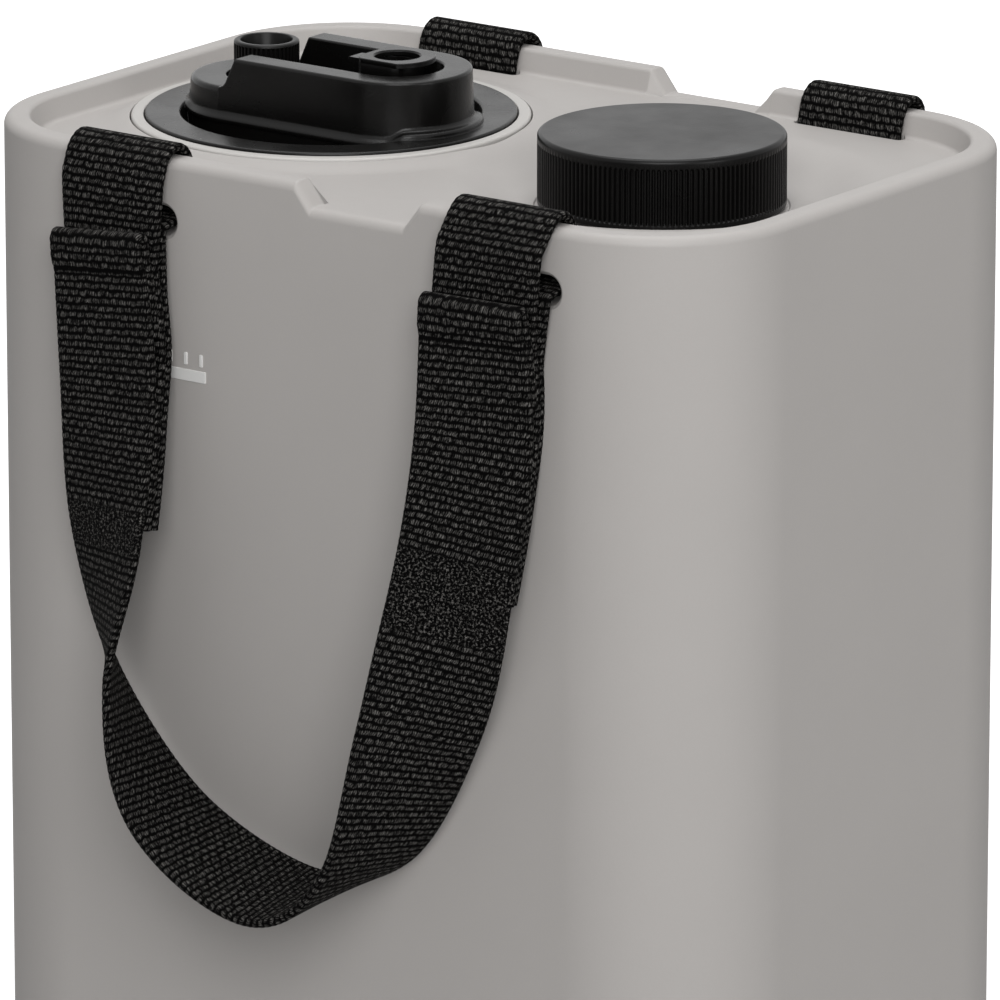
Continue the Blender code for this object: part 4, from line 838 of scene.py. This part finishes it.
def build_lid():
    inner = SKIRT_RADIUS - 0.003
    floor_under = LID_FLOOR - FLOOR_THICKNESS
    profile = rounded(
        (0.0, floor_under, 0.0), (inner, floor_under, 0.0008), (inner, -SKIRT_DEPTH, 0.0006),
        (SKIRT_RADIUS, -SKIRT_DEPTH, 0.0008), (SKIRT_RADIUS, LID_UNDER, 0.0004),
        (LID_RADIUS, LID_UNDER, 0.0004), (LID_RADIUS, LID_TOP, 0.0005),
        (MOAT_EDGE, LID_TOP, 0.0007), (MOAT_FOOT, LID_FLOOR, 0.0016), (0.0, LID_FLOOR, 0.0),
    )
    lid = spun("lid_body", profile, LID_X, 144)
    low = boss_rings(*boss_profiles(PLATFORM_TOP, 0.0013, -0.00003))
    cut(lid, lofted("guide_low_boss", low), "UNION")
    tall = lofted("guide_tall_boss", boss_rings(*boss_profiles(BOSS_TOP, 0.0007, 0.0)))
    cut(tall, step_guide())
    edge = STEP_FOOT - 0.0016
    plan = ((-0.12, -0.03), (edge, -0.03), (edge, 0.03), (-0.12, 0.03))
    cut(tall, prism("guide_low_end", plan, (-0.03, PLATFORM_TOP + 0.0005)))
    cut(lid, tall, "UNION")
    ceiling = CHANNEL_FLOOR - FLOOR_THICKNESS
    hollow = [(-0.0033, floor_under - 0.002), (-0.0033, ceiling - 0.0015), (-0.0048, ceiling)]
    cut(lid, lofted("guide_hollow", boss_rings(hollow)))
    shape = Shape()
    pocket = VENT_RADIUS + 0.002
    for centre, radius in ((COUPLING_X, 0.0103), (VENT_X, pocket + 0.002)):
        top = ceiling + 0.0013
        column = [(0.0, LID_FLOOR), (radius, LID_FLOOR), (radius, top), (0.0, top)]
        shape.lathe(column, centre, 64)
    cut(lid, shape.make("guide_sockets"), "UNION")
    cut(lid, channel_guide())
    shape = Shape()
    below = floor_under - 0.004
    above = BOSS_TOP + 0.004
    hole = 0.0073
    shape.lathe([(0.0, below), (hole, below), (hole, above), (0.0, above)], COUPLING_X, 64)
    bore = [(0.0, below), (0.0038, below), (0.0038, POCKET_FLOOR), (pocket, POCKET_FLOOR)]
    shape.lathe(bore + [(pocket, above), (0.0, above)], VENT_X, 72)
    cut(lid, shape.make("guide_bores"))
    threads = Shape()
    add_thread(threads, LID_X, SKIRT_RADIUS, 0.0009, LID_PITCH, -0.0205, LID_TURNS)
    skirt_thread = threads.make("lid_thread")
    finish_piece(skirt_thread, "lid", BLACK_LOOK)
    finish_piece(lid, "lid", BLACK_LOOK, ["lid_shell"])


def step_guide():
    """The space over the low platform, with the sloping step up to the two bars."""
    start = STEP_FOOT
    slope = atan2(BOSS_TOP - PLATFORM_TOP, 0.0034)
    climb = BOSS_TOP + 0.006 - PLATFORM_TOP
    side = rounded(
        (-0.11, PLATFORM_TOP, 0.0), (start, PLATFORM_TOP, 0.0026),
        (start + climb / tan(slope), PLATFORM_TOP + climb, 0.0),
        steps=10,
    )
    side.append((-0.11, PLATFORM_TOP + climb))
    return bar("guide_step", side, 0.03)


def channel_guide():
    """The finger channel between the bars, rounded along its floor and its top edges."""
    profile = rounded(
        (-0.0015, CHANNEL_FLOOR, 0.0), (0.0, CHANNEL_FLOOR, 0.0008), (0.0, BOSS_TOP, 0.0005),
        (0.0012, BOSS_TOP + 0.00005, 0.0),
    )
    profile.append((0.0012, BOSS_TOP + 0.006))
    rings = []
    for grow, height in profile:
        width = CHANNEL_HALF_WIDTH + grow
        ring = []
        for index in range(49):
            angle = pi * (index / 48.0 - 0.5)
            ring.append((COUPLING_X + width * cos(angle), width * sin(angle), height))
        ring.append((VENT_X, width, height))
        ring.append((VENT_X, -width, height))
        rings.append(ring)
    return lofted("guide_channel", rings)


def rib_wave(ribs, depth, low, high, fade, wall):
    """Depth of the grooves between ribs at an angle and a height, on the outer wall only."""

    def groove(angle, radius, height):
        if radius < wall - 0.00005:
            return 0.0
        wave = 0.5 + 0.5 * cos(ribs * angle)
        ends = min((height - low) / fade, (high - height) / fade)
        return depth * smooth_step((wave - 0.25) / 0.5) * smooth_step(ends)

    return groove


def build_cap():
    under = CAP_TOP - 0.0024
    inner = CAP_RADIUS - 0.0025
    rib_low = CAP_BASE + 0.0012
    rib_high = CAP_TOP - 0.0022
    rows = [rib_low - 0.0002, rib_low, rib_low + 0.0003, rib_low + 0.0006, -0.006, 0.0]
    rows += [rib_high - step for step in (0.0012, 0.0009, 0.0006, 0.0003, 0.0)]
    shoulder = ((CAP_RADIUS, rib_high, 0.0), (CAP_RADIUS, CAP_TOP, 0.0021), (0.02, CAP_TOP, 0.0))
    outer = rounded(*shoulder, steps=8)
    profile = [(inner, under), (inner, CAP_BASE + 0.0004), (inner + 0.0004, CAP_BASE)]
    profile += [(CAP_RADIUS - 0.0003, CAP_BASE), (CAP_RADIUS, CAP_BASE + 0.0003)]
    profile += [(CAP_RADIUS, height) for height in rows]
    profile += outer[1:] + [(0.0, CAP_TOP)]
    profile = [(0.0, under)] + profile
    shape = Shape()
    ribs = 142
    waves = rib_wave(ribs, 0.0007, rib_low, rib_high, 0.0006, CAP_RADIUS)
    shape.lathe(profile, CAP_X, ribs * 8, waves)
    add_thread(shape, CAP_X, inner, -0.0013, CAP_PITCH, -0.0095, 1.8, CAP_THREAD_WIDTH)
    cap = shape.make("cap_body", RIB_CREASE)
    threads = Shape()
    add_thread(threads, CAP_X, NECK_RADIUS, 0.0013, CAP_PITCH, -0.0085, 1.6, CAP_THREAD_WIDTH)
    neck_thread = threads.make("neck_thread")
    finish_piece(neck_thread, "tank", BODY_LOOK)
    finish_piece(cap, "cap", RIB_LOOK, ["fill_cap"], RIB_CREASE)


def build_vent():
    low = POCKET_FLOOR + FIT_GAP
    rib_low = PLATFORM_TOP - 0.0016
    rib_high = VENT_TOP - 0.0007
    dish = VENT_TOP - 0.0034
    rows = [rib_low, rib_low + 0.0003, rib_low + 0.0006, 0.005]
    rows += [rib_high - step for step in (0.0009, 0.0006, 0.0003, 0.0)]
    profile = [(0.0, -0.0168), (0.003, -0.0168), (0.0035, -0.0163), (0.0035, low + 0.0013)]
    profile += [(0.0068, low + 0.0013), (0.0068, low), (0.0078, low), (VENT_RADIUS, low + 0.0002)]
    profile += [(VENT_RADIUS, height) for height in rows]
    profile += rounded(
        (VENT_RADIUS, rib_high, 0.0), (VENT_RADIUS - 0.0001, VENT_TOP - 0.0002, 0.0005),
        (VENT_RADIUS - 0.0007, VENT_TOP, 0.0004), (0.0064, VENT_TOP, 0.0003),
        (0.0058, dish, 0.0006), (0.0, dish, 0.0),
    )[1:]
    ribs = 44
    waves = rib_wave(ribs, 0.0006, rib_low, rib_high, 0.0004, VENT_RADIUS)
    knob = spun("vent_cap", profile, VENT_X, ribs * 10, waves, RIB_CREASE)
    finish_piece(knob, "vent", RIB_LOOK, ["vent_knob"], RIB_CREASE)


def coupling_plan(half):
    """Closed plan at the coupling, from its half on the +y side, mirrored across y = 0."""
    plan = [(x, -y) for x, y in half] + [(x, y) for x, y in half[::-1] if y > 0.0]
    return [(COUPLING_X + x, y) for x, y in plan]


def flange_outline():
    """Plan of the flange: a round that the block's flats cut off."""
    ring = []
    for x, y in circle(0.0, 0.0093, 144, 0.5):
        x = max(x, -BLOCK_LEFT)
        y = min(max(y, -BLOCK_HALF), BLOCK_HALF)
        if not ring or dist(ring[-1], (x, y)) > 0.0001:
            ring.append((x, y))
    return ring


def build_coupling():
    top = COUPLING_TOP
    under = top - FLANGE_THICKNESS
    profile = rounded(
        (0.0, -0.0192, 0.0), (0.007, -0.0192, 0.0004), (0.007, top - 0.0004, 0.0),
        (0.0, top - 0.0004, 0.0),
    )
    body = spun("coupling_barrel", profile, COUPLING_X)
    half = [
        (-BLOCK_LEFT, 0.0), (-BLOCK_LEFT, 0.0055), (-0.0052, BLOCK_HALF), (0.0041, BLOCK_HALF),
        (0.0053, 0.0065), (0.0053, 0.0),
    ]
    heights = (CHANNEL_FLOOR + FIT_GAP, top - 0.0003)
    cut(body, prism("guide_block", coupling_plan(half), heights), "UNION")
    edges = ((under, 0.992), (under + 0.0001, 1.0002), (top - 0.00015, 1.0002), (top, 0.985))
    rings = []
    for height, scale in edges:
        rings.append([(COUPLING_X + x * scale, y * scale, height) for x, y in flange_outline()])
    cut(body, lofted("guide_flange", rings), "UNION")
    bore = [
        (0.0, -0.022), (0.0046, -0.022), (0.0046, 0.0032), (0.0036, 0.0032), (0.0036, 0.004),
        (0.005, 0.004), (0.005, 0.0055), (0.006, 0.0055), (0.006, 0.0073), (0.005, 0.0073),
        (0.005, under - 0.0003), (0.00555, under), (0.00555, top - 0.0004),
        (0.006, top + 0.0001), (0.006, top + 0.002), (0.0, top + 0.002),
    ]
    cut(body, spun("guide_bore", bore, COUPLING_X))
    half = [
        (-0.014, 0.0029), (-0.007, 0.0029), (-0.0059, 0.0061), (0.003, 0.0061),
        (0.0044, 0.0053), (0.0058, 0.0036),
    ]
    cut(body, prism("guide_slot", coupling_plan(half), (under - 0.0019, under)))
    finish_piece(body, "lid", CRISP_LOOK, ["coupling_body"])


def build_latch():
    """The sliding plate and its grooved thumb tab."""
    low = COUPLING_TOP - FLANGE_THICKNESS - 0.0016
    high = low + 0.0013
    tab_x = -0.0094
    tab = COUPLING_X + tab_x
    half = [
        (tab_x - 0.0005, 0.0025), (-0.0071, 0.0025), (-0.0058, 0.0057), (0.0018, 0.0057),
        (0.0026, 0.0048), (0.0038, 0.0029),
    ]
    latch = prism("latch_plate", coupling_plan(half), (low, high))
    side = rounded(
        (tab, high - 0.0066, 0.0), (tab - 0.002, high - 0.0066, 0.0005),
        (tab - 0.002, high - 0.0015, 0.0004), (tab - 0.0036, high - 0.0015, 0.0004),
        (tab - 0.0036, high, 0.0005), (tab, high, 0.0),
    )
    cut(latch, bar("guide_tab", side, 0.0025), "UNION")
    below, above = low - 0.001, high + 0.001
    hole = [(0.0, below), (0.005, below), (0.005, above), (0.0, above)]
    cut(latch, spun("guide_hole", hole, COUPLING_X - 0.0016, 64))
    shape = Shape()
    for index in range(3):
        height = high - 0.0026 - 0.0012 * index
        groove = [(tab - 0.0022, height - 0.0003), (tab - 0.0017, height)]
        groove.append((tab - 0.0022, height + 0.0003))
        shape.loft([[(x, y, z) for x, z in groove] for y in (-0.003, 0.003)])
    cut(latch, shape.make("guide_grooves"))
    finish_piece(latch, "latch", CRISP_LOOK, ["coupling_latch"])


def build_fill_mark():
    """Raised fill line with a short generic scale above it, on the front face."""
    shape = Shape()
    raised = 0.0003
    bars = [(-0.0572, -0.0308, -0.0533, -0.0504)]
    for index in range(6):
        x = -0.0552 + 0.0046 * index
        bars.append((x - 0.0005, x + 0.0005, -0.0494, -0.0463))
    for left, right, low, high in bars:
        rings = []
        for inset, out in ((0.0, -0.0001), (0.0, raised * 0.6), (0.00012, raised)):
            box = (left + inset, right - inset, low + inset, high - inset)
            rings.append([(x, -FACE - out, z) for x, z in rounded_box(*box, 0.0003)])
        shape.loft(rings)
    mark = shape.make("fill_mark")
    paint = moulded("mark_paint_look", (0.72, 0.715, 0.7), 0.5, 0.0005, 0.00001, 0.02, 0.0001)
    finish_piece(mark, "tank", paint)


def rounded_box(left, right, low, high, radius, steps=4):
    ring = []
    corners = ((right, high, 0), (left, high, 90), (left, low, 180), (right, low, 270))
    for x, z, start in corners:
        centre_x = x - radius if x == right else x + radius
        centre_z = z - radius if z == high else z + radius
        for step in range(steps + 1):
            angle = radians(start + 90.0 * step / steps)
            ring.append((centre_x + radius * cos(angle), centre_z + radius * sin(angle)))
    return ring


# Webbing
def catmull_rom(knots, value):
    last = len(knots) - 1
    position = min(max(value, 0.0), 1.0) * last
    index = min(int(position), last - 1)
    t = position - index
    p1 = knots[index]
    p2 = knots[index + 1]
    p0 = knots[index - 1] if index > 0 else 2.0 * p1 - p2
    p3 = knots[index + 2] if index + 2 <= last else 2.0 * p2 - p1
    a = 2.0 * p1
    b = p2 - p0
    c = 2.0 * p0 - 5.0 * p1 + 4.0 * p2 - p3
    d = -p0 + 3.0 * p1 - 3.0 * p2 + p3
    return 0.5 * (a + b * t + c * t * t + d * t * t * t)


def route_knots():
    knots = []
    for share, drift, out, drop, twist in HANDLE_ROUTE:
        knots.append(np.array((share * STRAP_X + drift, FACE + out, -drop, radians(twist))))
    return knots


def handle_frame(knots, share):
    """Middle, width direction and outward direction of the front handle at one place."""
    here = catmull_rom(knots, share)
    ahead = catmull_rom(knots, share + 0.004) - catmull_rom(knots, share - 0.004)
    middle = Vector((here[0], -here[1], here[2]))
    tangent = Vector((ahead[0], -ahead[1], ahead[2])).normalized()
    slope = atan2(tangent.x, -tangent.z)
    level = Vector((cos(slope), 0.0, sin(slope)))
    width = cos(here[3]) * level - sin(here[3]) * Vector((0.0, 1.0, 0.0))
    width = (width - tangent * width.dot(tangent)).normalized()
    return middle, width, tangent.cross(width)


def leg_share(end, share):
    return share if end < 0 else 1.0 - share


def inward_offset(share):
    """How far the anchor lies behind the handle: past the folded end, then close to it."""
    close = HANDLE_THICKNESS / 2.0 + LAYER_GAP + ANCHOR_THICKNESS / 2.0
    behind = close + FOLD_PITCH - 0.0002
    return behind + (close - behind) * smooth_step((share - FOLD_FRACTION) / 0.06)


def hem_bulge(share):
    """The stiff roll of the folded end stands out from the leg below it."""
    return 0.0009 * (1.0 - smooth_step((share - 0.012) / 0.012))


def handle_stations(knots):
    """The handle webbing, with both ends folded back behind it and sewn down."""
    ends = []
    for end in (-1, 1):
        fold = []
        for step in range(FOLD_STEPS + 1):
            share = FOLD_FRACTION * (1.0 - step / FOLD_STEPS)
            middle, width, outward = handle_frame(knots, leg_share(end, share))
            fold.append((middle + outward * (0.5 * hem_bulge(share) - FOLD_PITCH), width))
        middle, width, outward = handle_frame(knots, leg_share(end, 0.0))
        front = hem_bulge(0.0)
        radius = (FOLD_PITCH + 0.5 * front) / 2.0
        for step in range(1, 12):
            angle = pi * step / 12.0
            rise = Vector((0.0, 0.0, 1.3 * radius * sin(angle)))
            out = front - radius - radius * cos(angle)
            fold.append((middle + outward * out + rise, width))
        ends.append(fold)
    main = []
    for index in range(HANDLE_STEPS + 1):
        share = index / HANDLE_STEPS
        middle, width, outward = handle_frame(knots, share)
        main.append((middle + outward * hem_bulge(min(share, 1.0 - share)), width))
    return ends[0] + main + ends[1][::-1]


def leg_stations(knots, end, first, extra):
    """The anchor's run behind a leg of the handle, from a share of the route to its end."""
    stations = []
    for index in range(LEG_STEPS + 1):
        share = first + (LEG_END - first) * index / LEG_STEPS
        middle, width, outward = handle_frame(knots, leg_share(end, share))
        stations.append((middle - outward * (inward_offset(share) + extra), width))
    return stations


def anchor_stations(knots, end, side):
    """One anchor strap: up a leg, over the rim, through the tunnel and down again."""
    upper = leg_stations(knots, end, UPPER_START, 0.0)[::-1]
    lower = leg_stations(knots, end, LOWER_START, ANCHOR_THICKNESS + LAYER_GAP)
    slot = SLOT_OUT - 0.00005
    loop = (
        (FACE + 0.0036, -0.0084), (FACE + 0.0026, -0.0036), (FACE + 0.0011, -0.0001),
        (FACE - 0.0012, 0.0019), (FACE - 0.0036, 0.0024), (FACE - 0.006, 0.0015),
        (FACE - 0.0078, -0.0007), (FACE - 0.0087, -0.0034), (slot, -DECK_DEPTH),
        (slot, -TUNNEL_DEPTH + 0.00625), (slot + 0.00085, -TUNNEL_DEPTH + 0.0031),
        (slot + 0.0034, -TUNNEL_DEPTH + 0.0006), (FACE - 0.0026, -TUNNEL_DEPTH - 0.0002),
        (FACE + 0.0005, -TUNNEL_DEPTH - 0.0008), (FACE + 0.0024, -TUNNEL_DEPTH - 0.003),
    )
    width = Vector((-end, 0.0, 0.0))
    lean = ((-0.0014, 0.0006), (-0.0008, 0.0), (-0.0002, -0.0003)) if end > 0 else ()
    over = []
    for index, (out, height) in enumerate(loop):
        drift, extra = lean[index] if index < len(lean) else (0.0, 0.0)
        x = end * STRAP_X + LOOP_SHIFT[end, side] + drift
        over.append((Vector((x, -out - extra, height)), width))
    bend = [upper[-33], upper[-1]] + over + [lower[0], lower[32]]
    middles = [np.array(middle) for middle, _ in bend]
    widths = [np.array(width) for _, width in bend]
    last = len(bend) - 1
    curved = []
    for index in range(16, (last - 1) * 16 + 1):
        share = index / (16.0 * last)
        middle = Vector(catmull_rom(middles, share))
        curved.append((middle, Vector(catmull_rom(widths, share)).normalized()))
    return upper[:-1] + curved + lower[1:]


def strap_section(thickness):
    """Rounded flat section of the webbing: offsets across it and through it."""
    half = WEBBING_WIDTH / 2.0
    deep = thickness / 2.0
    edge = deep * 0.95
    section = []
    for side in (1.0, -1.0):
        section += [(side * x, side * deep) for x in np.linspace(-half + edge, half - edge, 21)]
        for step in range(1, 6):
            angle = pi / 2.0 - pi * step / 6.0
            reach = half - edge + edge * cos(angle)
            section.append((side * reach, side * deep * sin(angle)))
    return section


def resampled(stations, step):
    """The same run of webbing in even steps, with the length reached at each."""
    reached = [0.0]
    for (before, _), (after, _) in zip(stations, stations[1:]):
        reached.append(reached[-1] + (after - before).length)
    count = int(round(reached[-1] / step))
    wanted = np.linspace(0.0, reached[-1], count + 1)
    places = []
    for part in (0, 1):
        table = np.array([tuple(station[part]) for station in stations])
        columns = [np.interp(wanted, reached, table[:, axis]) for axis in range(3)]
        places.append(np.column_stack(columns))
    return places[0], places[1], wanted


def strap_mesh(name, stations, thickness, side):
    """Sweeps the webbing section along its stations and lays the weave's own coordinates."""
    middles, widths, reached = resampled(stations, ROW_PITCH / 4.0)
    section = strap_section(thickness - RELIEF)
    count = len(section)
    rows = len(reached)
    widths /= np.linalg.norm(widths, axis=1)[:, None]
    window = 3
    ahead = middles[np.minimum(np.arange(rows) + window, rows - 1)]
    back = middles[np.maximum(np.arange(rows) - window, 0)]
    normals = np.cross(ahead - back, widths)
    normals /= np.linalg.norm(normals, axis=1)[:, None]
    wave = np.abs(np.sin(pi * reached / ROW_PITCH))
    swell = RELIEF * (wave ** 0.7 - 0.5)
    points = np.zeros((rows, count, 3))
    flat = WEBBING_WIDTH / 2.0 - thickness / 2.0
    for column, (x, deep) in enumerate(section):
        beyond = np.sign(x) * max(abs(x) - flat, 0.0)
        away = hypot(beyond, deep)
        push = swell / away
        along_width = (x + beyond * push)[:, None]
        along_normal = (deep + deep * push)[:, None]
        points[:, column] = middles + widths * along_width + normals * along_normal
    points[:, :, 1] *= -side
    points[:, :, 2] += CREST
    around = [0.0]
    for index in range(count):
        around.append(around[-1] + dist(section[index], section[(index + 1) % count]))
    faces = []
    places = []
    for row in range(rows - 1):
        u0, u1 = reached[row], reached[row + 1]
        for column in range(count):
            a = row * count + column
            b = row * count + (column + 1) % count
            faces.append((a, b, b + count, a + count))
            v0, v1 = around[column], around[column + 1]
            places += [(u0, v0), (u0, v1), (u1, v1), (u1, v0)]
    faces.append(tuple(range(count))[::-1])
    places += [(0.0, section[index][0]) for index in range(count)][::-1]
    faces.append(tuple((rows - 1) * count + index for index in range(count)))
    places += [(reached[-1], section[index][0]) for index in range(count)]
    mesh = bpy.data.meshes.new(name)
    mesh.from_pydata(points.reshape(-1, 3).tolist(), [], faces)
    layer = mesh.uv_layers.new(name="strap")
    layer.data.foreach_set("uv", np.array(places, dtype=np.float32).ravel())
    if side > 0:
        mesh.flip_normals()
    return linked(name, mesh)


def length_at(stations, low, high, first_half):
    """Length along the webbing between two heights on its left or right leg."""
    middles, _, reached = resampled(stations, ROW_PITCH / 4.0)
    half = len(reached) // 2
    span = slice(70, half) if first_half else slice(half, len(reached) - 70)
    leg = middles[span, 2]
    found = reached[span][(leg > low) & (leg < high)]
    return float(found.min()), float(found.max())


def build_handles():
    knots = route_knots()
    stations = handle_stations(knots)
    patches = []
    seams = []
    for left_leg, low, high in SEWN_PATCHES:
        patches.append(length_at(stations, low, high, left_leg))
        seams.append(length_at(stations, *SEAM_HEIGHTS, left_leg)[0])
    sewn_look = woven("sewn_webbing_look", WEB_DARK, WEB_SHEEN_LIGHT, seams, patches)
    for label, side in (("front", -1), ("rear", 1)):
        body = label + "_handle"
        handle = strap_mesh(label + "_strap", stations, HANDLE_THICKNESS, side)
        replaced = [label + "_handle_webbing"]
        finish_piece(handle, body, sewn_look, replaced, WEB_CREASE)
        for end, word in ((-1, "left"), (1, "right")):
            name = label + "_" + word
            route = anchor_stations(knots, end, side)
            anchor = strap_mesh(name + "_loop", route, ANCHOR_THICKNESS, side)
            smooth(anchor, WEB_CREASE)
            anchor.data.materials.append(WEB_LOOK)
            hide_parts(name + "_anchor")
            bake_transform(anchor)


build_tank()
build_collar()
build_lid()
build_cap()
build_vent()
build_coupling()
build_latch()
build_fill_mark()
build_handles()

# Hidden nodes keep their solids with finished materials
CLEAR_LOOK = moulded("tube_look", (0.55, 0.57, 0.57), 0.25, 0.002, 0.00001, 0.04, 0.0001)
STEEL_LOOK = moulded("steel_look", (0.55, 0.55, 0.56), 0.3, 0.0006, 0.00001, 0.04, 0.0001)
STEEL_LOOK.node_tree.nodes["Principled BSDF"].inputs["Metallic"].default_value = 1.0
NODE_LOOKS = (
    (RUBBER_LOOK, ("lid_gasket", "vent_seal", "cap_liner", "coupling_seal")),
    (STEEL_LOOK, ("latch_spring", "poppet_spring")),
    (BLACK_LOOK, ("valve_poppet", "coupling_nut", "tube_barb", "intake_strainer")),
    (CLEAR_LOOK, ("dip_tube",)),
)
for node_look, node_names in NODE_LOOKS:
    for node_name in node_names:
        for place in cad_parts[node_name].material_slots:
            place.material = node_look


# Studio
def add_light(name, place, target_height, size, power):
    """A rectangular lamp that points at a height on the part's axis."""
    data = bpy.data.lights.new(name, "AREA")
    data.shape = "RECTANGLE"
    data.size = data.size_y = size
    data.energy = power
    light = linked(name, data)
    light.location = place
    aim = Vector((0.0, 0.0, target_height)) - Vector(place)
    light.rotation_euler = aim.to_track_quat("-Z", "Y").to_euler()


def build_studio():
    world = bpy.data.worlds.new("studio")
    bpy.context.scene.world = world
    world.use_nodes = True
    sky = Nodes(world.node_tree)
    soft = sky.tree.nodes["Background"]
    soft.inputs["Color"].default_value = WHITE
    soft.inputs["Strength"].default_value = WORLD_STRENGTH
    white = sky.add("Background", {"Color": WHITE, "Strength": 1.0})
    sky.pale_for_camera(soft.outputs[0], white.outputs[0], 1.0)
    shape = Shape()
    half = FLOOR_HALF
    edges = [[(-half, y, 0.0), (half, y, 0.0)] for y in (-half, half)]
    shape.loft(edges, (False, False), False)
    floor = shape.make("floor", CREASE, -0.0002)
    look = Look("floor_look", Base_Color=(0.5, 0.5, 0.5, 1.0), Roughness=0.9)
    place = look.add("TexCoord", {}).outputs["Object"]
    away = look.add("VectorMath", {0: place}, operation="LENGTH").outputs["Value"]
    lift = look.map(away, GLOW_NEAR, GLOW_FAR, GLOW_LEAST, 1.0)
    glow = look.add("Emission", {"Strength": lift}).outputs[0]
    plain = look.shader.outputs[0]
    both = look.add("AddShader", {0: plain, 1: glow})
    look.pale_for_camera(plain, both.outputs[0], FLOOR_GLOSSY_SHARE)
    floor.data.materials.append(look.material)
    for lamp in LAMPS:
        add_light(*lamp)


def build_camera():
    data = bpy.data.cameras.new("camera")
    data.sensor_width = 36.0
    data.lens = FOCAL_PIXELS * data.sensor_width / PICTURE_WIDTH
    data.clip_start = 0.05
    data.clip_end = 50.0
    azimuth, pitch = radians(AZIMUTH), radians(PITCH)
    level = cos(pitch)
    back = Vector((sin(azimuth) * level, -cos(azimuth) * level, sin(pitch)))
    right = Vector((cos(azimuth), sin(azimuth), 0.0))
    up = back.cross(right)
    aim = Vector((0.0, 0.0, CREST)) + right * AIM_RIGHT + up * AIM_UP
    camera = linked("camera", data)
    camera.location = back * CAMERA_DISTANCE + aim
    camera.rotation_mode = "QUATERNION"
    camera.rotation_quaternion = (-back).to_track_quat("-Z", "Y")
    bpy.context.scene.camera = camera


build_studio()
build_camera()
bpy.context.scene.view_settings.view_transform = "Standard"
